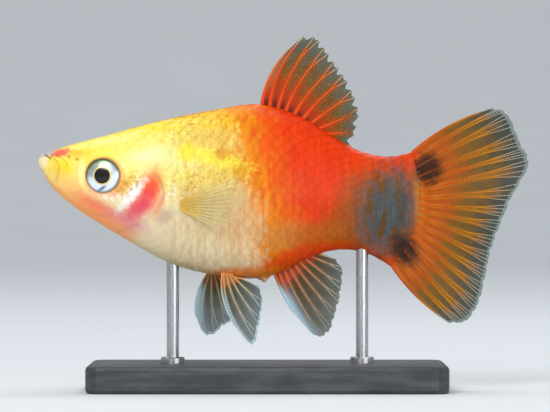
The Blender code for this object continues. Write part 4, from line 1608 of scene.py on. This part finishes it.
@dataclass(frozen=True)
class RayPlan:
    """How a fin's rays divide, and how its edge is notched.

    Attributes:
        count: How many rays there are.
        fork_at: Share of a ray's length where it forks.
        second_fork: Share where the branches fork again, or 1 for never.
        simple: Rays that don't fork, counted from the front, at each end.
        notch: How far the web stops short of the rays' tips, in millimetres.
        ragged: How much the rays' lengths vary, as a share.
        width: A ray's half width at the root, in millimetres.
        seed: Seed of the variation.
        spread: How far apart the branches go, as a share of the space between rays.
    """

    count: int
    fork_at: float
    second_fork: float
    simple: tuple[int, int]
    notch: float
    ragged: float
    width: float
    seed: int
    spread: float = 0.20

    def lengths(self) -> np.ndarray:
        """Return each ray's length as a share of its plain length."""
        return 1 + self.ragged * np.random.default_rng(self.seed).uniform(-1, 1, self.count)

    def forks(self, ray: np.ndarray) -> np.ndarray:
        """Tell which rays fork."""
        return (ray >= self.simple[0]) & (ray < self.count - self.simple[1])

    def branches(self) -> list[tuple[int, float, float, float, float]]:
        """List the rays' branches.

        Returns:
            For each branch its ray, where it starts and ends as shares of the length, and how far from the
            ray's own line it lies at its start and end, as shares of the space between rays.
        """
        result = []
        for ray in range(self.count):
            if not self.forks(ray):
                result.append((ray, 0.0, 1.0, 0.0, 0.0))
                continue
            result.append((ray, 0.0, self.fork_at + 0.03, 0.0, 0.0))
            for middle in (-self.spread, self.spread):
                if self.second_fork >= 1:
                    result.append((ray, self.fork_at, 1.0, 0.0, middle))
                    continue
                result.append((ray, self.fork_at, self.second_fork + 0.02, 0.0, middle))
                for turn in (-0.9, 0.9):
                    result.append((ray, self.second_fork, 1.0, middle, middle * 1.9 + self.spread * turn))
        return result


# A root line takes shares of its length and returns places in the fin's own plane. A Place takes such places
# and their share of the way out, and returns points and the direction of the fin's thickness.
RootLine = Callable[[np.ndarray], np.ndarray]
Place = Callable[[np.ndarray, float], tuple[np.ndarray, np.ndarray]]


@dataclass
class Fin:
    """A fin: a thin notched web, and the branching, jointed rays that carry it.

    Attributes:
        name: Name of its pieces.
        node: The CAD node that it stands for.
        keys: The rays that shape it.
        plan: How its rays divide.
        root_line: Places its root in its own plane, by the share across it.
        place: Puts places in that plane into space, with the direction of the fin's thickness.
        colours: Its colours.
    """

    name: str
    node: str
    keys: tuple[KeyRay, ...]
    plan: RayPlan
    root_line: RootLine
    place: Place
    colours: FinColours
    rows: int = 44
    per_ray: int = 10
    web_root: float = 0.34
    web_edge: float = 0.09
    web_taper: float = 1.6
    web_between: float = 0.75
    web_swell: float = 0.35
    edge_gap: float = 0.25
    fork_notch: float = 0.45
    ray_sides: int = 8
    ray_rings: int = 64
    fewest_rings: int = 10
    ray_tip: float = 0.38
    ray_rise: float = 0.55
    branch_width: float = 0.75
    bead: float = 0.10
    bead_start: tuple[float, float] = (0.15, 0.3)
    tip_length: float = 0.04
    tip_least: float = 0.06
    side_step: float = 0.002
    root_depth: float = 0.7

    def flat(self, across: np.ndarray, share: np.ndarray, reach: np.ndarray) -> np.ndarray:
        """Find places in the fin's own plane.

        Args:
            across: Shares across the fin, from its front.
            share: Shares of the way from root to edge.
            reach: How long the rays are there, as a share of their plain length.

        Returns:
            The places, as two coordinates in the last axis.
        """
        across, share = np.broadcast_arrays(across, share * reach)
        table = np.array([(k.along, k.length, k.angle, k.bend) for k in self.keys])
        at = np.linspace(0, 1, len(self.keys))
        along, length, angle, bend = (blend(at, table[:, k], across) for k in range(4))
        turn = np.radians(np.where(np.abs(bend) < 0.5, 0.5, bend))
        heading = np.radians(angle) + turn / 2 - turn * share / 2
        travel = length * np.sin(turn * share / 2) / np.sin(turn / 2)
        return self.root_line(along) + np.stack([travel * np.cos(heading), travel * np.sin(heading)], axis=-1)

    def lengths(self, across: np.ndarray) -> np.ndarray:
        """Return the plain length of the ray at each share across the fin."""
        return blend(np.linspace(0, 1, len(self.keys)), [k.length for k in self.keys], across)

    def thickness(self, share: np.ndarray) -> np.ndarray:
        """Return the web's thickness at shares of the way out."""
        return self.web_root * (1 - share) ** self.web_taper + self.web_edge

    def web_reach(self, across: np.ndarray) -> np.ndarray:
        """Notch the web's edge between the rays.

        Args:
            across: Shares across the fin.

        Returns:
            How far out the web reaches there, as a share of the plain length.
        """
        place = across * (self.plan.count - 1)
        nearest = np.clip(np.round(place), 0, self.plan.count - 1).astype(int)
        off = np.abs(place - nearest) * 2
        varied = np.interp(place, np.arange(self.plan.count), self.plan.lengths())
        forked = self.fork_notch * (1 - smooth_step(off, 0.0, 0.4)) + smooth_step(off, 0.45, 1.0)
        dip = np.where(self.plan.forks(nearest), forked, smooth_step(off, 0.0, 0.9))
        short = self.edge_gap + (1 - self.edge_gap) * dip
        return varied - short * self.plan.notch / self.lengths(across)

    def build_web(self, material: bpy.types.Material) -> None:
        """Make the web.

        Args:
            material: Its finish.
        """
        across = np.linspace(0, 1, (self.plan.count - 1) * self.per_ray + 1)
        reach = self.web_reach(across)
        near_ray = np.abs(np.cos(across * (self.plan.count - 1) * math.pi))
        start = -self.root_depth / self.lengths(across)
        shares = np.linspace(0, 1, self.rows)
        fronts, backs = [], []
        for share in shares:
            spots, direction = self.place(self.flat(across, start + (1 - start) * share, reach), share)
            half = self.thickness(share) / 2 * (self.web_between + self.web_swell * near_ray)
            half = half[:, None] * direction
            fronts.append(spots + half)
            backs.append(spots - half)
        uvs = np.stack(np.meshgrid(across, shares), axis=-1).reshape(-1, 2)
        obj = Piece.build(f"{self.name}_web", np.concatenate([*fronts, *backs]),
                          Piece.slab_faces(self.rows, len(across)), {"Fin": np.tile(uvs, (2, 1))})
        Piece.dress(obj, material, "fin", self.node)

    def build_rays(self, material: bpy.types.Material) -> None:
        """Make the rays as closed tubes, tapered, forked and beaded by their joints.

        Args:
            material: Their finish.
        """
        gaps, scale, step = self.plan.count - 1, self.plan.lengths(), self.side_step
        spin = np.linspace(0, 2 * math.pi, self.ray_sides, endpoint=False)
        points, faces, uvs, runs = [], [], [], []
        for ray, start, end, off_start, off_end in self.plan.branches():
            rings = max(self.fewest_rings, int(self.ray_rings * (end - start)))
            length = float(self.lengths(np.array(ray / gaps))) * scale[ray]
            share = np.linspace(start if start > 0 else -self.root_depth / length, end, rings)
            opened = smooth_step((share - start) / (end - start), 0.0, 1.0)
            offset = off_start + (off_end - off_start) * opened
            across = np.clip((ray + offset) / gaps, 0, 1)
            before, centre, beyond = (
                self.along(np.clip(across + shift, 0, 1), share, scale[ray]) for shift in (-step, 0.0, step))
            forward = np.gradient(centre, axis=0)
            forward /= np.linalg.norm(forward, axis=1, keepdims=True)
            sideways = beyond - before
            sideways -= (sideways * forward).sum(1, keepdims=True) * forward
            sideways /= np.linalg.norm(sideways, axis=1, keepdims=True)
            run = np.clip(share, 0, 1)
            beads = np.cos(2 * math.pi * run * length / RAY_JOINTS) * smooth_step(run, *self.bead_start)
            rounded = np.sqrt(np.clip((1.0 - run) / self.tip_length, self.tip_least, 1))
            tip = rounded if end >= 1 else np.ones(rings)
            taper = (1 - run) * (1 - self.ray_tip) + self.ray_tip
            branch = self.branch_width if start > 0 else 1.0
            half = self.plan.width * taper * branch * (1 + self.bead * beads) * tip
            tall = self.thickness(run) / 2 * tip + self.ray_rise * half
            ring = (centre[:, None] + sideways[:, None] * (half[:, None] * np.cos(spin))[..., None]
                    + np.cross(forward, sideways)[:, None] * (tall[:, None] * np.sin(spin))[..., None])
            faces += Piece.tube_faces(rings, self.ray_sides, sum(map(len, points)))
            points.append(ring.reshape(-1, 3))
            uvs.append(np.repeat(np.stack([across, run], axis=1), self.ray_sides, axis=0))
            runs.append(np.repeat(np.stack([run * length, run], axis=1), self.ray_sides, axis=0))
        obj = Piece.build(f"{self.name}_rays", np.concatenate(points), faces,
                          {"Fin": np.concatenate(uvs), "Ray": np.concatenate(runs)})
        Piece.dress(obj, material, "fin")

    def along(self, across: np.ndarray, share: np.ndarray, reach: float) -> np.ndarray:
        """Follow a ray.

        Args:
            across: Shares across the fin, one for each step.
            share: Shares of the way out, one for each step.
            reach: The ray's length as a share of its plain length.

        Returns:
            The points.
        """
        flat = self.flat(across, share, reach)
        return np.concatenate([self.place(flat[k : k + 1], float(np.clip(share[k], 0, 1)))[0]
                               for k in range(len(share))])

    def build(self, effects: Effects) -> None:
        """Make the fin's web and its rays, with the shared effects."""
        self.build_web(WebFinish(f"{self.name}_web", self.colours, self.plan.count).material(effects))
        self.build_rays(RayFinish(f"{self.name}_rays", self.colours).material(effects))


class FinPaint(Enum):
    """The colours of the fins."""

    DORSAL = FinColours(
        (srgb(164, 46, 0), srgb(100, 66, 8), srgb(78, 80, 54)),
        (srgb(226, 72, 0), srgb(230, 100, 12), srgb(190, 184, 156)),
        reach=0.56, clear=0.36, root_clear=0.03, band=0.26, edge=0.08, shadow=0.85,
        lead=srgb(222, 120, 60), lead_strength=0.5, gilt=0.5)
    ANAL = FinColours(
        (srgb(176, 58, 24), srgb(78, 58, 26), srgb(60, 68, 48)),
        (srgb(204, 104, 56), srgb(186, 146, 108), srgb(186, 192, 182)),
        reach=0.27, clear=0.42, root_clear=0.06, band=0.32, edge=0.15, shadow=0.2,
        lead=srgb(174, 210, 230), lead_strength=1.0, lead_width=0.30)
    TAIL = FinColours(
        (srgb(172, 76, 6), srgb(116, 82, 10), srgb(42, 52, 36)),
        (srgb(196, 82, 8), srgb(200, 132, 20), srgb(160, 178, 174)),
        reach=0.50, clear=0.30, root_clear=0.03, band=0.60, edge=0.55, blend=0.16)
    PELVIC = FinColours(
        (srgb(160, 104, 64), srgb(62, 66, 50), srgb(70, 88, 88)),
        (srgb(222, 150, 84), srgb(196, 184, 142), srgb(194, 222, 232)),
        reach=0.22, clear=0.42, root_clear=0.10, band=0.30, edge=0.85,
        lead=srgb(184, 214, 228), lead_width=0.34)
    PECTORAL = FinColours(
        (srgb(238, 214, 116), srgb(218, 210, 146), srgb(224, 212, 160)),
        (srgb(246, 204, 84), srgb(240, 212, 126), srgb(236, 216, 166)),
        reach=0.4, clear=0.96, root_clear=0.82, band=0.0, edge=0.0)


@dataclass
class Fins:
    """All seven fins, each grown from the body's surface.

    A row of a fin's tips is a share of its root line, the tip's place behind the jaw's tip and height, and
    the ray's bend in degrees.
    """

    ripple: float = 0.35
    ripple_length: float = 11.0
    settle: float = 2.2
    dorsal_root: tuple[float, float] = (25.0, 32.9)
    dorsal_tips: tuple[tuple[float, ...], ...] = (
        (0.00, 28.00, 16.42, 34), (0.11, 29.77, 17.91, 38), (0.23, 31.19, 17.65, 32),
        (0.34, 32.31, 16.28, 28), (0.46, 33.49, 14.75, 22), (0.58, 34.47, 13.29, 16),
        (0.69, 35.39, 11.42, 8), (0.79, 36.02, 9.40, 0), (0.88, 35.56, 7.19, -8), (1.0, 35.06, 5.51, -16))
    anal_root: tuple[float, float] = (26.5, 30.8)
    anal_tips: tuple[tuple[float, ...], ...] = (
        (0.00, 28.55, -13.20, -14), (0.11, 30.69, -15.55, -18), (0.24, 31.75, -15.85, -15),
        (0.37, 32.70, -15.10, -10), (0.50, 33.26, -13.42, -7), (0.62, 33.71, -11.74, -4),
        (0.75, 33.94, -10.28, -2), (0.87, 34.10, -8.38, 0), (1.0, 33.35, -7.20, 4))
    tail_rays: tuple[KeyRay, ...] = (
        KeyRay(0.00, 9.6, 28, 24), KeyRay(0.10, 11.0, 28.8, 8), KeyRay(0.22, 11.6, 19, 6),
        KeyRay(0.31, 12.0, 13.5, 4), KeyRay(0.41, 9.6, 0, 0), KeyRay(0.49, 8.6, -11, -2),
        KeyRay(0.58, 8.4, -23, -4), KeyRay(0.67, 9.0, -33, -4), KeyRay(0.76, 9.8, -42, -4),
        KeyRay(0.88, 9.8, -46, -8), KeyRay(1.00, 8.5, -44, -22))
    pectoral_root: Line = ((16.4, -0.4), (16.5, -1.9))
    pectoral_out: float = math.radians(24)
    pectoral_rays: tuple[KeyRay, ...] = (
        KeyRay(0.00, 6.8, 22, 5), KeyRay(0.25, 7.1, 13, 3), KeyRay(0.50, 6.7, 2, 0),
        KeyRay(0.75, 5.9, -11, -3), KeyRay(1.00, 4.4, -26, -6))
    pelvic_side: float = 1.5
    pelvic_out: float = math.radians(14)
    left_pelvic_root: tuple[float, float] = (20.5, 22.5)
    left_pelvic_rays: tuple[KeyRay, ...] = (
        KeyRay(0.00, 6.6, -71, -50), KeyRay(0.15, 8.1, -67, -42), KeyRay(0.40, 6.6, -60, -20),
        KeyRay(0.65, 4.9, -48, -6), KeyRay(1.00, 2.3, -22, 10))
    right_pelvic_root: tuple[float, float] = (18.9, 20.5)
    right_pelvic_rays: tuple[KeyRay, ...] = (
        KeyRay(0.00, 4.9, -107, -44), KeyRay(0.15, 6.9, -93, -30), KeyRay(0.40, 6.0, -81, -12),
        KeyRay(0.65, 5.2, -68, 0), KeyRay(1.00, 2.6, -52, 10))

    def in_middle_plane(self, flat: np.ndarray, share: float) -> tuple[np.ndarray, np.ndarray]:
        """Place flat points in the swung middle plane, with a slight ripple towards the edge.

        Args:
            flat: Places in the fin's own plane.
            share: Their share of the way out.

        Returns:
            The points and the direction of the fin's thickness.
        """
        ripple = self.ripple * share**2 * np.sin(2 * math.pi * flat[:, 1] / self.ripple_length)
        spots = np.stack([flat[:, 0], SHAPE.swing(flat[:, 0]) + ripple, flat[:, 1]], axis=1)
        return spots, np.array([0.0, 1.0, 0.0])

    def seam(self, ends: tuple[float, float], part: int, way: float) -> RootLine:
        """Follow the edge of the body's outline, sinking into it towards the rear.

        Args:
            ends: Where the line starts and ends behind the jaw's tip.
            part: Which value of a station it follows, 0 for the back and 1 for the belly.
            way: How far it stands off at its start, upwards.

        Returns:
            The root line.
        """
        def line(share: np.ndarray) -> np.ndarray:
            """Return the root line's places at shares of its length."""
            x = ends[0] + (ends[1] - ends[0]) * np.asarray(share)
            return np.stack([x, SHAPE.station(x)[part] + way * (1 - self.settle * share)], axis=-1)

        return line

    def on_tail(self, share: np.ndarray) -> np.ndarray:
        """Follow the end of the tail's flesh.

        Args:
            share: Shares of the tail fin's root line.

        Returns:
            The root line's places.
        """
        line = smooth_line(SHAPE.tail_base, 60) + (GAP, 0)
        spots = np.linspace(0, 1, len(line))
        return np.stack([np.interp(share, spots, line[:, k]) for k in range(2)], axis=-1)

    @staticmethod
    def tipped(root_line: RootLine, tips: tuple[tuple[float, ...], ...]) -> tuple[KeyRay, ...]:
        """Make a fin's rays from where they start and end.

        Args:
            root_line: The fin's root line.
            tips: The rows of tips.

        Returns:
            The rays.
        """
        rays = []
        for along, x, z, bend in tips:
            step = np.array((x, z)) - root_line(np.array(along))
            angle = math.degrees(math.atan2(step[1], step[0]))
            rays.append(KeyRay(along, float(np.hypot(*step)), angle, bend))
        return tuple(rays)

    def median(self) -> list[Fin]:
        """Shape the fins of the middle plane.

        Returns:
            The dorsal, anal and tail fins.
        """
        back, belly = self.seam(self.dorsal_root, 0, GAP), self.seam(self.anal_root, 1, -GAP)
        return [
            Fin("dorsal", "dorsal_fin", self.tipped(back, self.dorsal_tips),
                RayPlan(10, 0.58, 1.0, (2, 1), 0.75, 0.015, 0.20, 3), back, self.in_middle_plane,
                FinPaint.DORSAL.value),
            Fin("anal", "anal_fin", self.tipped(belly, self.anal_tips),
                RayPlan(9, 0.5, 1.0, (2, 1), 0.28, 0.015, 0.15, 5), belly, self.in_middle_plane,
                FinPaint.ANAL.value),
            Fin("tail", "tail_fin", self.tail_rays,
                RayPlan(17, 0.05, 0.50, (1, 1), 0.20, 0.012, 0.17, 7, 0.125), self.on_tail,
                self.in_middle_plane, FinPaint.TAIL.value),
        ]

    def pectoral(self, side: int) -> Fin:
        """Return one pectoral fin, fanned back from the flank.

        Args:
            side: -1 for the fish's left, 1 for its right.

        Returns:
            The fin.
        """
        line = np.array(self.pectoral_root)
        start = SHAPE.flank(*line[0]) + GAP

        def spread_back(flat: np.ndarray, share: float) -> tuple[np.ndarray, np.ndarray]:
            """Place flat points in a plane leaning out from the flank. Takes and returns what Place says."""
            y = start + (flat[:, 0] - line[0, 0]) * math.tan(self.pectoral_out)
            out = np.array([-math.sin(self.pectoral_out), side * math.cos(self.pectoral_out), 0.0])
            return np.stack([flat[:, 0], side * y, flat[:, 1]], axis=1), out

        def on_shoulder(share: np.ndarray) -> np.ndarray:
            """Return the root line."""
            return line[0] + (line[1] - line[0]) * np.asarray(share)[..., None]

        return Fin(f"pectoral_{hand(side)}", f"pectoral_fin_{hand(side)}", self.pectoral_rays,
                   RayPlan(12, 0.55, 1.0, (1, 1), 0.10, 0.012, 0.043, 11), on_shoulder, spread_back,
                   FinPaint.PECTORAL.value, web_root=0.16, web_edge=0.06, root_depth=0.5)

    def pelvic(self, side: int) -> Fin:
        """Return one pelvic fin, hanging from the belly.

        Args:
            side: -1 for the fish's left, 1 for its right.

        Returns:
            The fin.
        """
        root = self.left_pelvic_root if side < 0 else self.right_pelvic_root
        top = float(SHAPE.station(np.array(root[0]))[1])

        def hang_down(flat: np.ndarray, share: float) -> tuple[np.ndarray, np.ndarray]:
            """Place flat points in a plane leaning out from the belly. Takes and returns what Place says."""
            y = self.pelvic_side + (top - flat[:, 1]) * math.tan(self.pelvic_out)
            out = np.array([0.0, side * math.cos(self.pelvic_out), math.sin(self.pelvic_out)])
            return np.stack([flat[:, 0], side * y, flat[:, 1]], axis=1), out

        return Fin(f"pelvic_{hand(side)}", f"pelvic_fin_{hand(side)}",
                   self.left_pelvic_rays if side < 0 else self.right_pelvic_rays,
                   RayPlan(6, 0.45, 1.0, (1, 0), 0.22, 0.02, 0.12, 13), self.seam(root, 1, 0.0), hang_down,
                   FinPaint.PELVIC.value, per_ray=16, root_depth=0.5)

    def build(self, effects: Effects) -> None:
        """Make every fin.

        Args:
            effects: The shared effects.
        """
        paired = [make(side) for side in (-1, 1) for make in (self.pectoral, self.pelvic)]
        for fin in (*self.median(), *paired):
            fin.build(effects)


@dataclass
class Stand:
    """The slate base and the two steel rods, each rod in a small collar."""

    collar_radius: float = 1.35
    collar_height: float = 0.7
    chamfer: float = 0.12
    bite: float = 0.1
    sharp_angle: float = math.radians(40)
    sides: int = 48

    def build(self, effects: Effects) -> None:
        """Dress the base and make the rods.

        Args:
            effects: The shared effects.
        """
        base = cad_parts["stand_base"]
        base.data.materials.clear()
        base.data.materials.append(SlateFinish().material(effects))
        steel = SteelFinish().material(effects)
        for end in ("front", "rear"):
            self.build_rod(end, steel)

    def build_rod(self, end: str, steel: bpy.types.Material) -> None:
        """Make one round rod and its collar in the place of the rod's node.

        Args:
            end: Which rod it is, front or rear.
            steel: Its finish.
        """
        low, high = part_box(f"stand_rod_{end}")
        centre = ((low + high) / 2) / MM - Vector(ORIGIN)
        radius = (high.x - low.x) / 2 / MM
        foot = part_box("stand_base")[1].z / MM - ORIGIN[2]
        top = foot + self.collar_height
        spin = np.linspace(0, 2 * math.pi, self.sides, endpoint=False)
        x, y = centre.x + radius * np.cos(spin), centre.y + radius * np.sin(spin)
        seat = SHAPE.underside(x, y - SHAPE.swing(x)) + self.bite
        profile = ((self.collar_radius, foot), (self.collar_radius, top - self.chamfer),
                   (self.collar_radius - self.chamfer, top), (radius, top), (radius, seat))
        rings = []
        for reach, z in profile:
            ring = (centre.x + reach * np.cos(spin), centre.y + reach * np.sin(spin), np.full(self.sides, z))
            rings.append(np.stack(ring, axis=1))
        obj = Piece.build(f"rod_{end}", np.concatenate(rings), Piece.tube_faces(len(rings), self.sides))
        obj.data.set_sharp_from_angle(angle=self.sharp_angle)
        Piece.dress(obj, steel, "rod", f"stand_rod_{end}")


@dataclass
class Studio:
    """A pale sweep, soft lights and the camera at the photograph's viewing angle.

    A lamp is its name, its place in metres, its size and its power.
    """

    image_width: int = 550
    pixel: float = 0.112
    distance: float = 500.0
    sensor: float = 36.0
    aim_x: float = -1.06
    aim_z: float = 20.6
    wall_y: float = 1.60
    bend: float = 0.60
    reach: float = 2.4
    bend_steps: int = 24
    clip_start: float = 0.01
    lamp_aim: Triple = (0.0, 0.0, 0.02)
    lamps: tuple[tuple[str, Triple, float, float], ...] = (
        ("key", (-0.14, -0.46, 0.28), 0.24, 1.65),
        ("fill", (0.30, -0.42, 0.02), 0.34, 0.95),
        ("rim", (0.12, 0.22, 0.42), 0.24, 0.45),
        ("overhead", (0.0, 0.35, 1.40), 1.60, 13.0),
    )
    world_colour: Colour = (0.96, 0.98, 1.0)
    world_strength: float = 0.40

    def build(self, effects: Effects) -> None:
        """Set up the sweep, the lights, the world and the camera.

        Args:
            effects: The shared effects.
        """
        self.sweep(effects)
        self.lights()
        self.camera()

    @staticmethod
    def put(name: str, data: bpy.types.ID) -> bpy.types.Object:
        """Add an object to the scene.

        Args:
            name: Its name.
            data: Its mesh, light or camera.

        Returns:
            The object.
        """
        obj = bpy.data.objects.new(name, data)
        bpy.context.scene.collection.objects.link(obj)
        return obj

    def sweep(self, effects: Effects) -> None:
        """Make the floor that curves up into the wall behind.

        Args:
            effects: The shared effects.
        """
        turn = np.linspace(0, math.pi / 2, self.bend_steps)
        bend_y = self.wall_y - self.bend + self.bend * np.sin(turn)
        bend_z = self.bend - self.bend * np.cos(turn)
        profile = [(-self.reach, 0.0), *zip(bend_y, bend_z), (self.wall_y, self.reach)]
        points = [(x, y, z) for y, z in profile for x in (-self.reach, self.reach)]
        mesh = bpy.data.meshes.new("sweep")
        mesh.from_pydata(points, [], Piece.grid_faces(len(profile), 2))
        mesh.shade_smooth()
        mesh.materials.append(SweepFinish().material(effects))
        self.put("sweep", mesh)

    def lights(self) -> None:
        """Add the soft lights and the world's fill."""
        for name, place, size, power in self.lamps:
            data = bpy.data.lights.new(name, "AREA")
            data.shape, data.size, data.energy = "DISK", size, power
            lamp = self.put(name, data)
            lamp.location = place
            aim = Vector(self.lamp_aim) - Vector(place)
            lamp.rotation_euler = aim.to_track_quat("-Z", "Y").to_euler()
        world = bpy.data.worlds.new("studio")
        world.use_nodes = True
        background = world.node_tree.nodes["Background"].inputs
        background[0].default_value = (*self.world_colour, 1.0)
        background[1].default_value = self.world_strength
        bpy.context.scene.world = world

    def camera(self) -> None:
        """Place the camera level with the fish, so that one pixel is as large as in the photograph."""
        data = bpy.data.cameras.new("camera")
        data.sensor_width = self.sensor
        data.lens = self.sensor * self.distance / (self.image_width * self.pixel)
        data.clip_start = self.clip_start
        camera = self.put("camera", data)
        camera.location = (self.aim_x * MM, -self.distance * MM, self.aim_z * MM)
        camera.rotation_euler = (math.radians(90), 0.0, 0.0)
        bpy.context.scene.camera = camera
        bpy.context.scene.view_settings.view_transform = "Standard"


def main() -> None:
    """Build every sub-assembly in order."""
    logging.basicConfig(level=logging.INFO, format="%(name)s %(message)s")
    effects = Effects()
    Studio().build(effects)
    skin = Skin()
    skin.build(SkinFinish().material(effects))
    scale_finish = ScaleFinish().material(effects)
    eye_finish = EyeFinish().material(effects)
    for side in (-1, 1):
        ScaleCoat(skin, side).build(scale_finish)
        EyeBall(side).build(eye_finish)
    Fins().build(effects)
    Stand().build(effects)


if __name__ == "__main__":
    main()
